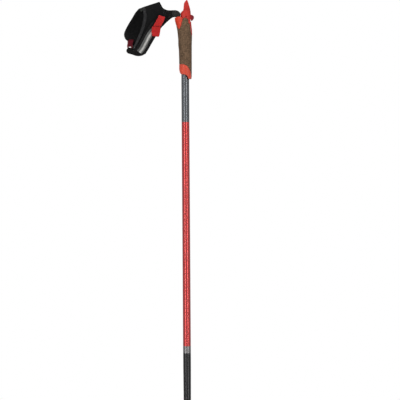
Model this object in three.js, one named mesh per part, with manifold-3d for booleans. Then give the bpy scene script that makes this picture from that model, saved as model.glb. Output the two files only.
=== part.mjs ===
// A ski pole: one-piece tapered shaft, cork grip with a sprung release lever, and a hand
// strap that swings on the clip that it hangs from.
// Millimetres. +Z runs up the shaft, +X points to the front of the grip, and the origin is
// on the shaft's axis at the middle of the hand hold.
import * as THREE from 'three';
import { mergeVertices } from 'three/addons/utils/BufferGeometryUtils.js';
import Module from 'manifold-3d';

const wasm = await Module();
wasm.setup();

// ---- Driving dimensions -------------------------------------------------------------

const GAP = 0.3; // clearance between pieces that touch
const CLOTH_GAP = 0.5; // clearance between curved layers of cloth
const POLE_LENGTH = 1330; // horn tip to carbide tip
const HORN_TOP = 93.3;

const SHAFT_DIAMETER = 16;
const SHAFT_WALL = 1.3;
const SHAFT_TOP = 40; // where the tube ends inside the grip
const SHAFT_TAPER_START = -660;
const SHAFT_END_DIAMETER = 10;
const SHAFT_FIT = 0.2; // radial, glue line between shaft and grip

const CORE_WALL = 1.6;
const CORE_ROOF = 3.7; // plastic above the shaft's end
const CORE_BOTTOM = -57;

const GRIP_DEPTH = 28; // front to back at the hand hold
const GRIP_WIDTH = 26; // side to side at the hand hold
const GRIP_TOP = 73;
const GRIP_BOTTOM = -70;

const SLOT_FLOOR = 48;
const SHELF_Z = 56.3; // floor of the slot over the lobe, where the clip's tongue lies
const LEVER_THICKNESS = 9.6;
const LEVER_SIDE_PLAY = 0.4; // on each side, in the slot that lever and clip share
const SLOT_WIDTH = LEVER_THICKNESS + 2 * LEVER_SIDE_PLAY;
const CHEEK_ROOT = 2.6; // plastic on each side of the slot where the cork covers it
const LEVER_PIVOT = { x: 3, z: 58 };
const LEVER_PIN_DIAMETER = 3;
const PIN_CLEARANCE = 0.25; // radial
const PIN_INSET = 0.7; // from the head's side to the pin's end
const LEVER_UNDERSIDE = 54; // height of the front arm's lower face at rest
const LEVER_BACK = -9.2; // furthest back that the lever reaches in the slot

const TONGUE_THICKNESS = 2;
const TONGUE_SIDE_PLAY = 0.7;
const TONGUE_WIDTH = SLOT_WIDTH - 2 * TONGUE_SIDE_PLAY;
const CATCH_WIDTH = 2.8; // side to side size of the lever's tooth
const CATCH_CENTRE = -7.2;
const CATCH_LENGTH = 2.8;
const CATCH_PLAY = 0.6; // room round the tooth in the tongue's eye

const BAR_DIAMETER = 4.4;
const EAR_THICKNESS = 2.8;
const NECK_ROLL_RADIUS = 7;
const ROLL_OVER_LOBE = 0.7; // room between the rolled neck and the lobe's top
const LOBE_TOP = 57.2; // at the lobe's back edge
const EAR_RADIUS = NECK_ROLL_RADIUS - 0.8;
const STRAP_PIVOT = { x: -20, z: LOBE_TOP + ROLL_OVER_LOBE + NECK_ROLL_RADIUS };
const NECK_ROLL_WIDTH = 11.8;
const NECK_THICKNESS = 4;

const CUFF_HALF_WIDTH = 22; // how far each panel bulges from the middle plane
const PANEL_THICKNESS = 3;
const BINDING_THICKNESS = 1.2;
const BINDING_WIDTH = 6;
const PAD_THICKNESS = 1.1;
const BAND_THICKNESS = 2;
const PATCH_THICKNESS = 1;
const TAB_THICKNESS = 2;

const RING_CENTRE = { x: -113.4, y: -2, z: -1.5 };
const RING_HALF_WIDTH = 6;
const RING_HALF_HEIGHT = 8.8;
const RING_BAR = 3.6;
const RING_THICKNESS = 3.4;

const FERRULE_LENGTH = 92;
const FERRULE_OVERLAP = 45; // length of ferrule that sleeves the shaft
const FERRULE_WALL = 1.8;
const TIP_PIN_DIAMETER = 5;
const TIP_PIN_LENGTH = 30;
const TIP_STICKOUT = 12;
const TIP_FLAT_DIAMETER = 2.4;
const BASKET_DIAMETER = 56;
const BASKET_THICKNESS = 2.4;
const BASKET_HUB_WALL = 3;
const BASKET_HUB_HEIGHT = 14;
const BASKET_WINDOWS = 5;

const TIP_Z = HORN_TOP - POLE_LENGTH;
const FERRULE_BOTTOM = TIP_Z + TIP_STICKOUT;
const FERRULE_TOP = FERRULE_BOTTOM + FERRULE_LENGTH;
const SHAFT_BOTTOM = FERRULE_TOP - FERRULE_OVERLAP;
const BORE_RADIUS = SHAFT_DIAMETER / 2 + SHAFT_FIT;
const CORE_RADIUS = BORE_RADIUS + CORE_WALL;
const CORE_TOP = SHAFT_TOP + GAP + CORE_ROOF;

// ---- Colours and finishes -----------------------------------------------------------

const finish = (color, roughness, metalness = 0) =>
  new THREE.MeshStandardMaterial({ color, roughness, metalness });

const CORK = finish(0x68543f, 0.85);
const HEAD_RED = finish(0xb7403a, 0.45);
const ORANGE = finish(0xcf5844, 0.45);
const DARK_RED = finish(0x7a2328, 0.5);
const SHAFT_PAINT = finish(0xc05b58, 0.3);
const BLACK_FABRIC = finish(0x161818, 0.9);
const BLACK_PLASTIC = finish(0x1d1b1a, 0.5);
const GREY_BINDING = finish(0x2d2d2e, 0.8);
const GREY_RUBBER = finish(0x8c8c8a, 0.6);
const TAB_RED = finish(0xbe3a3b, 0.7);
const STEEL = finish(0xb8babd, 0.3, 1);

// ---- Helpers ------------------------------------------------------------------------

const at = (x, z) => new THREE.Vector2(x, z);
const curve = (points) => new THREE.SplineCurve(points.map(([x, z]) => at(x, z)));
const smoothstep = (t) => THREE.MathUtils.smoothstep(t, 0, 1);

function toSolid(geometry) {
  const bare = geometry.clone();
  bare.deleteAttribute('normal');
  bare.deleteAttribute('uv');
  const merged = mergeVertices(bare, 1e-4);
  return new wasm.Manifold(new wasm.Mesh({
    numProp: 3,
    vertProperties: new Float32Array(merged.attributes.position.array),
    triVerts: new Uint32Array(merged.index.array),
  }));
}

function toGeometry(solid) {
  const mesh = solid.getMesh();
  const geometry = new THREE.BufferGeometry();
  geometry.setAttribute('position', new THREE.BufferAttribute(mesh.vertProperties, 3));
  geometry.setIndex(new THREE.BufferAttribute(mesh.triVerts, 1));
  geometry.computeVertexNormals();
  return geometry;
}

// A cylinder along Z, between two heights.
function roundAlongZ(radius, low, high, segments = 40) {
  const geometry = new THREE.CylinderGeometry(radius, radius, high - low, segments);
  geometry.rotateX(Math.PI / 2);
  geometry.translate(0, 0, (low + high) / 2);
  return geometry;
}

// A cylinder along Y, centred on the middle plane.
function roundAlongY(radius, centre, length, segments = 28) {
  const geometry = new THREE.CylinderGeometry(radius, radius, length, segments);
  geometry.translate(centre.x, 0, centre.z);
  return geometry;
}

// A profile of [radius, height] points turned about Z.
function turned(profile, segments = 32) {
  const points = profile.map(([radius, height]) => new THREE.Vector2(radius, height));
  const geometry = new THREE.LatheGeometry(points, segments);
  geometry.rotateX(Math.PI / 2);
  return geometry;
}

function block(low, high) {
  const geometry = new THREE.BoxGeometry(high[0] - low[0], high[1] - low[1], high[2] - low[2]);
  geometry.translate((low[0] + high[0]) / 2, (low[1] + high[1]) / 2, (low[2] + high[2]) / 2);
  return geometry;
}

// An outline in the side view (x, z), given width from y = low to y = high.
function sideways(shape, low, high, bevel = 0) {
  const geometry = new THREE.ExtrudeGeometry(shape, {
    depth: high - low - 2 * bevel,
    curveSegments: 10,
    bevelEnabled: bevel > 0,
    bevelThickness: bevel,
    bevelSize: bevel,
    bevelOffset: -bevel,
    bevelSegments: 2,
  });
  geometry.rotateX(Math.PI / 2);
  geometry.translate(0, high - bevel, 0);
  return geometry;
}

const outline = (points) => new THREE.Shape(points.map(([x, z]) => at(x, z)));

// A polyline moved sideways by a distance, to the left of its direction of travel.
function shifted(samples, distance) {
  return samples.map((point, i) => {
    const before = samples[Math.max(i - 1, 0)];
    const after = samples[Math.min(i + 1, samples.length - 1)];
    const along = after.clone().sub(before).normalize();
    return at(point.x - along.y * distance, point.y + along.x * distance);
  });
}

// ---- Grip ---------------------------------------------------------------------------

// Edges of the grip as stations going up: [z, how far the edge stands out past the half
// depth or half width of the hand hold], negative where it draws in.
const HANDLE_BACK = [
  [-70, -5.5], [-60, -4.5], [-56, -2.8], [-51, -1.8], [-31, -1.6], [-10, -1.1], [0, 0],
  [10, 0], [21, 0.8], [31, 2], [37, 3.2], [43, 4.4], [47, 5.8], [52, 6.8], [60, 6.8],
];
const HANDLE_FRONT = [
  [-70, -0.6], [-60, -0.4], [-51, -0.3], [-31, -0.2], [0, 0], [10, 0.4], [21, 0.8],
  [31, 0.5], [37, -0.2], [43, -0.9], [49, -1.3], [60, -1.3],
];
const HANDLE_SIDE = [[-70, -1.6], [-50, -0.8], [-25, -0.4], [0, 0], [21, 0.1], [37, -0.6], [60, -2]];
const HEAD_BACK = [[14, -4.2], [58, -4.2], [64, -4.7], [68, -5.7], [70, -7.4], [GRIP_TOP, -10.8]];
const HEAD_FRONT = [
  [14, 0.7], [21, 0.8], [31, 0.5], [37, -0.2], [43, -0.9], [49, -1.3], [64, -1.2], [68, -1.1],
  [70, -1.5], [GRIP_TOP, -2.8],
];
const HEAD_SIDE = [[14, 0.1], [37, -0.6], [58, -2], [64, -2.4], [69, -3.4], [GRIP_TOP, -5]];

// The line between cork and plastic at the top, from back to front.
const CORK_TOP_LINE = [
  [-26, 47], [-17.6, 40.2], [-14.2, 34.6], [-11.5, 33.2], [-9.2, 36.2], [-7.4, 42], [-5.6, 48.5],
  [-3.6, 53.6], [1.1, 56.2], [5.2, 53.8], [8.4, 49.4], [10.2, 43.5], [11.3, 36], [12.2, 28], [14, 20.4],
  [20, 16],
];
// The line between cork and collar, from back to front.
const CORK_BOTTOM_LINE = [
  [-20, -38.8], [-12.5, -39.1], [-2.2, -40.4], [5, -44.6], [9.4, -51.5], [12.2, -61], [13.2, -76],
];
// The lower edge of the collar, from back to front.
const COLLAR_EDGE = [
  [-20, -50], [-12.6, -54.4], [-8.6, -59.3], [0, -61], [4.4, -63.9], [7.4, -69.4], [20, -69.6],
];

function station(table, z) {
  const last = table.length - 1;
  if (z <= table[0][0]) return table[0][1];
  if (z >= table[last][0]) return table[last][1];
  const i = table.findIndex(([level]) => level > z);
  const [z0, x0] = table[i - 1];
  const [z1, x1] = table[i];
  return x0 + ((x1 - x0) * (z - z0)) / (z1 - z0);
}

// An oval body whose front, back and half width follow the three station tables.
function ovalBody(back, front, side, low, high, levels) {
  const geometry = new THREE.CylinderGeometry(1, 1, 1, 40, levels);
  const place = geometry.attributes.position;
  for (let i = 0; i < place.count; i += 1) {
    const z = low + (place.getY(i) + 0.5) * (high - low);
    const middle = (station(front, z) - station(back, z)) / 2;
    const halfDepth = GRIP_DEPTH / 2 + (station(front, z) + station(back, z)) / 2;
    const halfWidth = GRIP_WIDTH / 2 + station(side, z);
    place.setXYZ(i, middle + halfDepth * place.getX(i), -halfWidth * place.getZ(i), z);
  }
  return toSolid(geometry);
}

const handleBody = () => ovalBody(HANDLE_BACK, HANDLE_FRONT, HANDLE_SIDE, GRIP_BOTTOM, 60, 26);
const headBody = () => ovalBody(HEAD_BACK, HEAD_FRONT, HEAD_SIDE, 14, GRIP_TOP, 14);

const REACH = 40; // half width of the cutters that shape the grip
const topSeam = curve(CORK_TOP_LINE).getPoints(46);
const bottomSeam = curve(CORK_BOTTOM_LINE).getPoints(18);
const cutter = (points) => toSolid(sideways(new THREE.Shape(points), -REACH, REACH));

// Everything under the top seam, which can be moved up by a gap.
const underTopSeam = (gap) => cutter([at(-60, GRIP_BOTTOM - 20), at(60, GRIP_BOTTOM - 20), at(60, 16),
  ...shifted(topSeam, gap).reverse(), at(-60, 47)]);
// Everything over the bottom seam, which can be moved down by a gap.
const overBottomSeam = (gap) => cutter([at(-60, 90), at(-60, -38.8 - gap), ...shifted(bottomSeam, -gap),
  at(60, -76), at(60, 90)]);

const shaftBore = () => toSolid(roundAlongZ(BORE_RADIUS, GRIP_BOTTOM - 30, SHAFT_TOP + GAP));
const coreTube = (gap) => toSolid(roundAlongZ(CORE_RADIUS + gap, CORE_BOTTOM - gap, CORE_TOP + gap));

// The middle of the head, which stands on the core's roof between the two cork cheeks.
const HEAD_BLOCK_HALF_WIDTH = SLOT_WIDTH / 2 + CHEEK_ROOT;
const headBlock = (gap) => toSolid(block(
  [-4 - gap, -HEAD_BLOCK_HALF_WIDTH - gap, CORE_TOP + GAP - gap],
  [12.2 + gap, HEAD_BLOCK_HALF_WIDTH + gap, 57 + gap],
)).intersect(headBody());
const leverSlot = () => toSolid(block([-30, -SLOT_WIDTH / 2, SLOT_FLOOR], [40, SLOT_WIDTH / 2, 100]));
const tongueSlot = () => toSolid(block([-40, -SLOT_WIDTH / 2, SHELF_Z], [0, SLOT_WIDTH / 2, 80]));
const leverPinBore = () => toSolid(roundAlongY(LEVER_PIN_DIAMETER / 2 + PIN_CLEARANCE, LEVER_PIVOT, 60));

function corkSleeve() {
  return handleBody()
    .intersect(underTopSeam(-GAP / 2))
    .intersect(overBottomSeam(-GAP / 2))
    .subtract(coreTube(GAP))
    .subtract(headBlock(GAP));
}

// The head's underside behind the cork, which the lobe meets.
const HEAD_SEAT = { front: at(-4.4, 55.4), back: at(-9.8, 59) };

function gripCore() {
  const [seatFront, seatBack] = shifted([HEAD_SEAT.front, HEAD_SEAT.back], GAP);
  const edge = HEAD_SEAT.front.x - GAP;
  const lobeSide = new THREE.Shape([
    at(-60, 20), at(edge, 20), at(edge, seatFront.y), seatBack, at(-20.8, LOBE_TOP), at(-60, LOBE_TOP),
  ]);
  const lobe = handleBody()
    .intersect(toSolid(sideways(lobeSide, -REACH, REACH)))
    .subtract(underTopSeam(GAP / 2));
  return lobe.add(coreTube(0))
    .subtract(shaftBore())
    .subtract(tongueSlot());
}

function gripHead() {
  const { front, back } = HEAD_SEAT;
  const headSide = new THREE.Shape([
    at(-30, back.y), back, front, at(front.x, 10), at(40, 10), at(40, 90), at(-30, 90),
  ]);
  return headBody()
    .intersect(toSolid(sideways(headSide, -REACH, REACH)))
    .subtract(underTopSeam(GAP / 2))
    .add(headBlock(0))
    .subtract(coreTube(GAP))
    .subtract(leverSlot())
    .subtract(leverPinBore());
}

function lowerCollar() {
  const edge = curve(COLLAR_EDGE).getPoints(24);
  const overEdge = cutter([at(-60, 90), at(-60, -50), ...edge, at(60, -69.6), at(60, 90)]);
  return handleBody()
    .intersect(overEdge)
    .subtract(overBottomSeam(GAP / 2))
    .subtract(coreTube(GAP))
    .subtract(shaftBore());
}

// ---- Release lever --------------------------------------------------------------------

function leverOutline() {
  const shape = new THREE.Shape();
  shape.moveTo(3.4, HORN_TOP - 0.5);
  shape.quadraticCurveTo(4.1, HORN_TOP + 0.2, 4.8, HORN_TOP - 0.6);
  shape.splineThru([at(6.5, 89.8), at(8.7, 82.4), at(10.7, 75.4), at(11.9, 69), at(12.3, 63)]);
  shape.lineTo(12.9, 62);
  shape.splineThru([at(16, 60.8), at(18.2, 58.6), at(18.5, 56), at(17, 52.8), at(14.6, 50.4), at(12.4, 50)]);
  shape.lineTo(11.6, LEVER_UNDERSIDE);
  shape.lineTo(6, LEVER_UNDERSIDE);
  shape.quadraticCurveTo(3, LEVER_UNDERSIDE - 1.6, 0, LEVER_UNDERSIDE);
  shape.lineTo(-2.4, 58);
  shape.lineTo(-2.4, 61.2);
  shape.lineTo(LEVER_BACK, 61.2);
  shape.quadraticCurveTo(LEVER_BACK, 64.6, -8, 66.8);
  shape.quadraticCurveTo(-6, 69.6, -3.4, 71);
  shape.splineThru([at(-2.7, 76), at(-2.1, 82), at(-1.2, 86.8), at(1.3, 90.6)]);
  return shape;
}

function releaseLever() {
  const body = toSolid(sideways(leverOutline(), -LEVER_THICKNESS / 2, LEVER_THICKNESS / 2));
  const tooth = toSolid(block(
    [CATCH_CENTRE - CATCH_LENGTH / 2, -CATCH_WIDTH / 2, SHELF_Z + GAP + 0.8],
    [CATCH_CENTRE + CATCH_LENGTH / 2, CATCH_WIDTH / 2, 63],
  ));
  return body.add(tooth)
    .subtract(leverPinBore())
    .subtract(thumbPadSpace(0));
}

// The lever's front end, which the soft thumb pad caps.
const THUMB_PAD_BACK = 13;
const thumbPadSpace = (gap) => toSolid(block([THUMB_PAD_BACK + gap, -20, 45], [40, 20, 61.8]));

function thumbPad() {
  const pad = toSolid(sideways(leverOutline(), -LEVER_THICKNESS / 2, LEVER_THICKNESS / 2));
  return pad.intersect(thumbPadSpace(GAP));
}

// A closed coil that stands on the slot's floor under the lever's front arm.
const SPRING = {
  x: 8.6, radius: 2, wire: 0.6, turns: 3.5, low: SLOT_FLOOR + GAP, high: LEVER_UNDERSIDE - GAP,
};

function leverSpring() {
  const { x, radius, wire, turns, low, high } = SPRING;
  const rise = high - low - wire;
  const steps = Math.round(turns * 12);
  const points = Array.from({ length: steps + 1 }, (_, i) => {
    const angle = (i / 12) * 2 * Math.PI;
    const z = low + wire / 2 + (rise * i) / steps;
    return new THREE.Vector3(x + radius * Math.cos(angle), radius * Math.sin(angle), z);
  });
  const path = new THREE.CatmullRomCurve3(points);
  const section = new THREE.Shape().absarc(0, 0, wire / 2, 0, 2 * Math.PI);
  return toSolid(new THREE.ExtrudeGeometry(section, {
    steps, extrudePath: path, curveSegments: 3, bevelEnabled: false,
  }));
}

function leverPin() {
  const headWidth = GRIP_WIDTH + 2 * station(HEAD_SIDE, LEVER_PIVOT.z);
  return toSolid(roundAlongY(LEVER_PIN_DIAMETER / 2, LEVER_PIVOT, headWidth - 2 * PIN_INSET));
}

// ---- Clip -----------------------------------------------------------------------------

const CLIP_HALF_WIDTH = NECK_ROLL_WIDTH / 2 + GAP + EAR_THICKNESS;
const TONGUE_LOW = SHELF_Z + GAP;

function loopClip() {
  const side = new THREE.Shape();
  side.moveTo(-10, 66.4);
  side.lineTo(-13, 69.2);
  side.quadraticCurveTo(-16, STRAP_PIVOT.z + EAR_RADIUS, STRAP_PIVOT.x, STRAP_PIVOT.z + EAR_RADIUS);
  side.absarc(STRAP_PIVOT.x, STRAP_PIVOT.z, EAR_RADIUS, Math.PI / 2, 1.5 * Math.PI);
  side.lineTo(-10.1, 59.5);
  const body = toSolid(sideways(side, -CLIP_HALF_WIDTH, CLIP_HALF_WIDTH, 0.7));
  const tongue = toSolid(block(
    [-13.4, -TONGUE_WIDTH / 2, TONGUE_LOW],
    [-3, TONGUE_WIDTH / 2, TONGUE_LOW + TONGUE_THICKNESS],
  ));
  const web = toSolid(block(
    [-12.4, -TONGUE_WIDTH / 2, TONGUE_LOW],
    [LEVER_BACK - GAP, TONGUE_WIDTH / 2, 66],
  ));
  const rollSpace = toSolid(roundAlongY(NECK_ROLL_RADIUS + 0.4, STRAP_PIVOT, NECK_ROLL_WIDTH + 2 * GAP, 40));
  const openBack = toSolid(block(
    [-60, -NECK_ROLL_WIDTH / 2 - GAP, 40],
    [STRAP_PIVOT.x, NECK_ROLL_WIDTH / 2 + GAP, 90],
  ));
  const eye = toSolid(block(
    [CATCH_CENTRE - CATCH_LENGTH / 2 - CATCH_PLAY, -CATCH_WIDTH / 2 - CATCH_PLAY, 50],
    [CATCH_CENTRE + CATCH_LENGTH / 2 + CATCH_PLAY, CATCH_WIDTH / 2 + CATCH_PLAY, 60],
  ));
  return body.subtract(headBody().intersect(toSolid(block([-30, -30, 50], [10, 30, 90]))))
    .subtract(toSolid(block([-40, -30, 40], [0, 30, 58.7])))
    .add(tongue)
    .add(web)
    .subtract(rollSpace)
    .subtract(openBack)
    .subtract(eye)
    .subtract(clipBarBore());
}

const clipBarBore = () => toSolid(roundAlongY(BAR_DIAMETER / 2 + PIN_CLEARANCE, STRAP_PIVOT, 60));

const clipBar = () => toSolid(roundAlongY(BAR_DIAMETER / 2, STRAP_PIVOT, 2 * CLIP_HALF_WIDTH - 0.6));

// ---- Strap ----------------------------------------------------------------------------

// The cuff is a flattened tube that the hand goes through. Its two panels meet in a seam
// along the top and one along the bottom, and both seams run in the middle plane.
const TOP_SEAM = { from: at(-93, 75.8), to: at(-51.8, 89) };
const BOTTOM_SEAM = { from: at(-118, -16), to: at(-84, -22) };
const CUFF_END = at(-112.6, 1); // where the panels come together at the ring
const CUFF_END_REACH = 40;

function distanceFrom(seam, x, z) {
  const along = seam.to.clone().sub(seam.from).normalize();
  return Math.abs((x - seam.from.x) * along.y - (z - seam.from.y) * along.x);
}

// How far a panel's inner face stands from the seams' width, at a place in the side view.
// It is widest half way down, and closes towards the neck and towards the ring.
function bulge(x, z) {
  const top = distanceFrom(TOP_SEAM, x, z);
  const bottom = distanceFrom(BOTTOM_SEAM, x, z);
  const round = Math.sin((Math.PI * top) / (top + bottom));
  const neck = smoothstep((x + 95) / 57) * smoothstep((z - 10) / 35);
  const ring = smoothstep(1 - CUFF_END.distanceTo(at(x, z)) / CUFF_END_REACH);
  return CUFF_HALF_WIDTH * round * (1 - neck) * (1 - ring);
}

const PANEL_INNER = NECK_THICKNESS / 2 + GAP;
const PANEL_OUTER = PANEL_INNER + PANEL_THICKNESS;
const LOOP_PAD_INNER = PANEL_OUTER + CLOTH_GAP;
const HOOK_PAD_INNER = LOOP_PAD_INNER + PAD_THICKNESS + CLOTH_GAP;
const BAND_INNER = HOOK_PAD_INNER + PAD_THICKNESS + CLOTH_GAP;
const PATCH_INNER = BAND_INNER + BAND_THICKNESS + CLOTH_GAP;
const PATCH_OUTER = PATCH_INNER + PATCH_THICKNESS;
const FLAP_INNER = PATCH_OUTER + CLOTH_GAP;
const FLAP_OUTER = FLAP_INNER + TAB_THICKNESS;

// A layer of cloth between two side-view edges, each running downwards, on the near
// (side -1) or far (side 1) half of the cuff. inner and outer are its faces' heights.
function layer(left, right, inner, outer, side = -1, columns = 6, rows = 12) {
  const geometry = new THREE.BoxGeometry(1, 1, 1, columns, rows, 1);
  const place = geometry.attributes.position;
  for (let i = 0; i < place.count; i += 1) {
    const across = place.getX(i) + 0.5;
    const down = 0.5 - place.getY(i);
    const spot = left.getPoint(down).lerp(right.getPoint(down), across);
    const front = place.getZ(i) > 0;
    const height = front === side < 0 ? outer : inner;
    place.setXYZ(i, spot.x, side * (bulge(spot.x, spot.y) + height), spot.y);
  }
  return toSolid(geometry);
}

const CUFF_FRONT_EDGE = curve([[-52, 89.6], [-46.8, 80], [-41, 70], [-38.5, 59], [-42.5, 45.5], [-51.1, 33],
  [-62, 16.5], [-69.4, 4], [-76, -8.2], [-82.4, -18.4]]);
const NEAR_RIM = curve([[-88, 78.1], [-85, 66], [-84.7, 55.6], [-86.7, 43.3], [-90.2, 30.9], [-95.5, 18.5],
  [-100.7, 7.2], [-106, -2.2], [-109.5, -12.4]]);
const FAR_RIM = curve([[-94.6, 76], [-102, 68], [-109, 57.2], [-116.2, 46.2], [-122.8, 34.6], [-126.2, 24],
  [-123, 13.5], [-115.6, 7.4], [-111, -1.5], [-109.5, -12.4]]);
const BAND_UPPER_EDGE = curve([[-64, 50], [-72, 40.6], [-82.1, 24.7], [-89, 12], [-95.6, 0.4], [-102.6, -9],
  [-107.6, -9.4], [-113, -8.6]]);
const BAND_LOWER_EDGE = curve([[-52, 42], [-57, 27], [-64.5, 13.5], [-71, 2], [-77.8, -10.6], [-85.4, -20.6],
  [-98, -22.8], [-110, -19]]);
const PATCH_UPPER_EDGE = curve([[-68, 34.4], [-76.6, 24], [-85, 9.4], [-93, -4.6], [-99, -11.4]]);
const PATCH_LOWER_EDGE = curve([[-60.8, 28.2], [-67.4, 16.2], [-74.6, 3.6], [-82, -9.8], [-89.4, -18.8]]);

const movedBy = (edge, dx, dz) => new THREE.SplineCurve(edge.points.map((p) => at(p.x + dx, p.y + dz)));

const handPanelNear = () => layer(NEAR_RIM, CUFF_FRONT_EDGE, PANEL_INNER, PANEL_OUTER, -1, 9, 16);
const handPanelFar = () => layer(FAR_RIM, CUFF_FRONT_EDGE, PANEL_INNER, PANEL_OUTER, 1, 10, 16);

function rimBinding(rim, side) {
  const inner = PANEL_OUTER + CLOTH_GAP;
  const lower = 0.94; // it stops just above the bottom seam
  const edge = new THREE.SplineCurve(rim.getPoints(20).slice(0, Math.round(20 * lower)));
  return layer(edge, movedBy(edge, BINDING_WIDTH, 0), inner, inner + BINDING_THICKNESS, side, 1, 18);
}

function seamTape(points) {
  return toSolid(sideways(outline(points), -NECK_THICKNESS / 2, NECK_THICKNESS / 2));
}

const topSeamTape = () => seamTape([[-92.6, 75], [-90.6, 69.8], [-51.4, 83], [-53.4, 88]]);
const bottomSeamTape = () => seamTape([[-109.4, -12.2], [-82, -18.6], [-80, -14], [-107, -7]]);

function neckWebbing() {
  const side = new THREE.Shape();
  const { x, z } = STRAP_PIVOT;
  side.moveTo(x, z + NECK_ROLL_RADIUS);
  side.splineThru([at(-25, 72), at(-30.3, 71.8), at(-37.4, 72.8), at(-43.6, 75.8), at(-47, 79)]);
  side.lineTo(-60, 74);
  side.lineTo(-62, 46);
  side.lineTo(-49.4, 36.4);
  side.splineThru([at(-44.6, 40), at(-38.2, 46.6), at(-30, 53.6), at(-25, 57.2)]);
  side.lineTo(x, z - NECK_ROLL_RADIUS);
  const roll = toSolid(roundAlongY(NECK_ROLL_RADIUS, STRAP_PIVOT, NECK_ROLL_WIDTH, 36));
  return toSolid(sideways(side, -NECK_THICKNESS / 2, NECK_THICKNESS / 2))
    .add(roll)
    .subtract(clipBarBore());
}

// The ring, or with a gap the space that webbing and band leave round its bar.
function ringBody(gap) {
  const half = (inset) => [RING_HALF_WIDTH - inset, RING_HALF_HEIGHT - inset];
  const shape = new THREE.Shape().absellipse(RING_CENTRE.x, RING_CENTRE.z, ...half(-gap), 0, 2 * Math.PI);
  const hole = new THREE.Path();
  hole.absellipse(RING_CENTRE.x, RING_CENTRE.z, ...half(RING_BAR + gap), 0, 2 * Math.PI);
  shape.holes.push(hole);
  const halfThickness = RING_THICKNESS / 2 + gap;
  const bevel = gap > 0 ? 0 : 0.8;
  return toSolid(sideways(shape, RING_CENTRE.y - halfThickness, RING_CENTRE.y + halfThickness, bevel));
}

const FOLD_WALL = 1.6; // webbing thickness where it goes round the ring's bar
const FOLD_TOP = RING_CENTRE.z - RING_HALF_HEIGHT + RING_BAR + GAP + FOLD_WALL;
const RING_OPEN = 2; // what stays open in the ring between webbing and band
const LOOP_LOW = FOLD_TOP + RING_OPEN;
const foldLow = RING_CENTRE.y - RING_THICKNESS / 2 - GAP - FOLD_WALL;
const foldHigh = RING_CENTRE.y + RING_THICKNESS / 2 + GAP + FOLD_WALL;

function ringWebbing() {
  const left = curve([[-116, 12.6], [-116.2, 11], [-115.4, 7.6]]);
  const right = curve([[-105.6, 12.6], [-106, 9.6], [-108.6, 5]]);
  const tail = layer(left, right, PANEL_INNER - CLOTH_GAP - BAND_THICKNESS, PANEL_INNER - CLOTH_GAP, 1, 3, 4);
  const loop = toSolid(sideways(outline([
    [-118.4, 9.6], [-118.4, 1.6], [-116, LOOP_LOW], [-111, LOOP_LOW], [-108.6, 1.6], [-106, 9.6],
  ]), foldLow, foldHigh, 0.5));
  return tail.add(loop)
    .subtract(ringBody(GAP));
}

function closingBand() {
  const strip = layer(BAND_UPPER_EDGE, BAND_LOWER_EDGE, BAND_INNER, BAND_INNER + BAND_THICKNESS, -1, 4, 18);
  const side = new THREE.Shape();
  side.moveTo(-109.6, -8.6);
  side.lineTo(-111, FOLD_TOP);
  side.lineTo(-116.6, FOLD_TOP);
  side.quadraticCurveTo(-121, -8.6, -120.9, -12);
  side.quadraticCurveTo(-120, -15.8, -116, -17);
  side.lineTo(-110.2, -18.8);
  const fold = toSolid(sideways(side, -(BAND_INNER + BAND_THICKNESS), foldHigh, 0.9));
  return strip.add(fold)
    .subtract(ringBody(GAP));
}

const bandPatch = () => layer(PATCH_UPPER_EDGE, PATCH_LOWER_EDGE, PATCH_INNER, PATCH_OUTER, -1, 2, 14);

function hookAndLoopPad(inner) {
  const left = curve([[-65, 46], [-73, 34], [-80, 22]]);
  const right = curve([[-56, 38], [-62.4, 26], [-69, 12]]);
  return layer(left, right, inner, inner + PAD_THICKNESS, -1, 3, 6);
}

// The pull tab is folded at FOLD_Z: its upper half is sewn down, its lower half is free.
const FOLD_Z = 38;

function pullTabUpper() {
  const left = curve([[-52.8, 61.2], [-58, 51], [-65, FOLD_Z + GAP]]);
  const right = curve([[-40.4, 57.4], [-42.8, 50], [-48.8, FOLD_Z + GAP]]);
  return layer(left, right, PATCH_INNER, FLAP_OUTER, -1, 3, 5);
}

function pullTabLower() {
  const left = curve([[-66.6, FOLD_Z - GAP], [-68.4, 29], [-67.4, 19.4], [-64.2, 16.6]]);
  const right = curve([[-49.6, FOLD_Z - GAP], [-50.2, 29], [-52.2, 17.8], [-54.6, 15.4]]);
  return layer(left, right, FLAP_INNER, FLAP_OUTER, -1, 3, 6);
}

// ---- Shaft and tip --------------------------------------------------------------------

function shaftTube() {
  const top = SHAFT_DIAMETER / 2;
  const end = SHAFT_END_DIAMETER / 2;
  return toSolid(turned([
    [end - SHAFT_WALL, SHAFT_BOTTOM], [end, SHAFT_BOTTOM], [top, SHAFT_TAPER_START], [top, SHAFT_TOP],
    [top - SHAFT_WALL, SHAFT_TOP], [top - SHAFT_WALL, SHAFT_TAPER_START], [end - SHAFT_WALL, SHAFT_BOTTOM],
  ], 40));
}

// Outside radius of the shaft at a height on its taper.
function shaftRadius(z) {
  const t = (z - SHAFT_BOTTOM) / (SHAFT_TAPER_START - SHAFT_BOTTOM);
  return THREE.MathUtils.lerp(SHAFT_END_DIAMETER / 2, SHAFT_DIAMETER / 2, THREE.MathUtils.clamp(t, 0, 1));
}

const PIN_SOCKET_TOP = FERRULE_BOTTOM + TIP_PIN_LENGTH - TIP_STICKOUT + GAP;
const FERRULE_NOSE_RADIUS = TIP_PIN_DIAMETER / 2 + FERRULE_WALL;
const FERRULE_BODY_RADIUS = SHAFT_END_DIAMETER / 2 + SHAFT_FIT + FERRULE_WALL;

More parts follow.
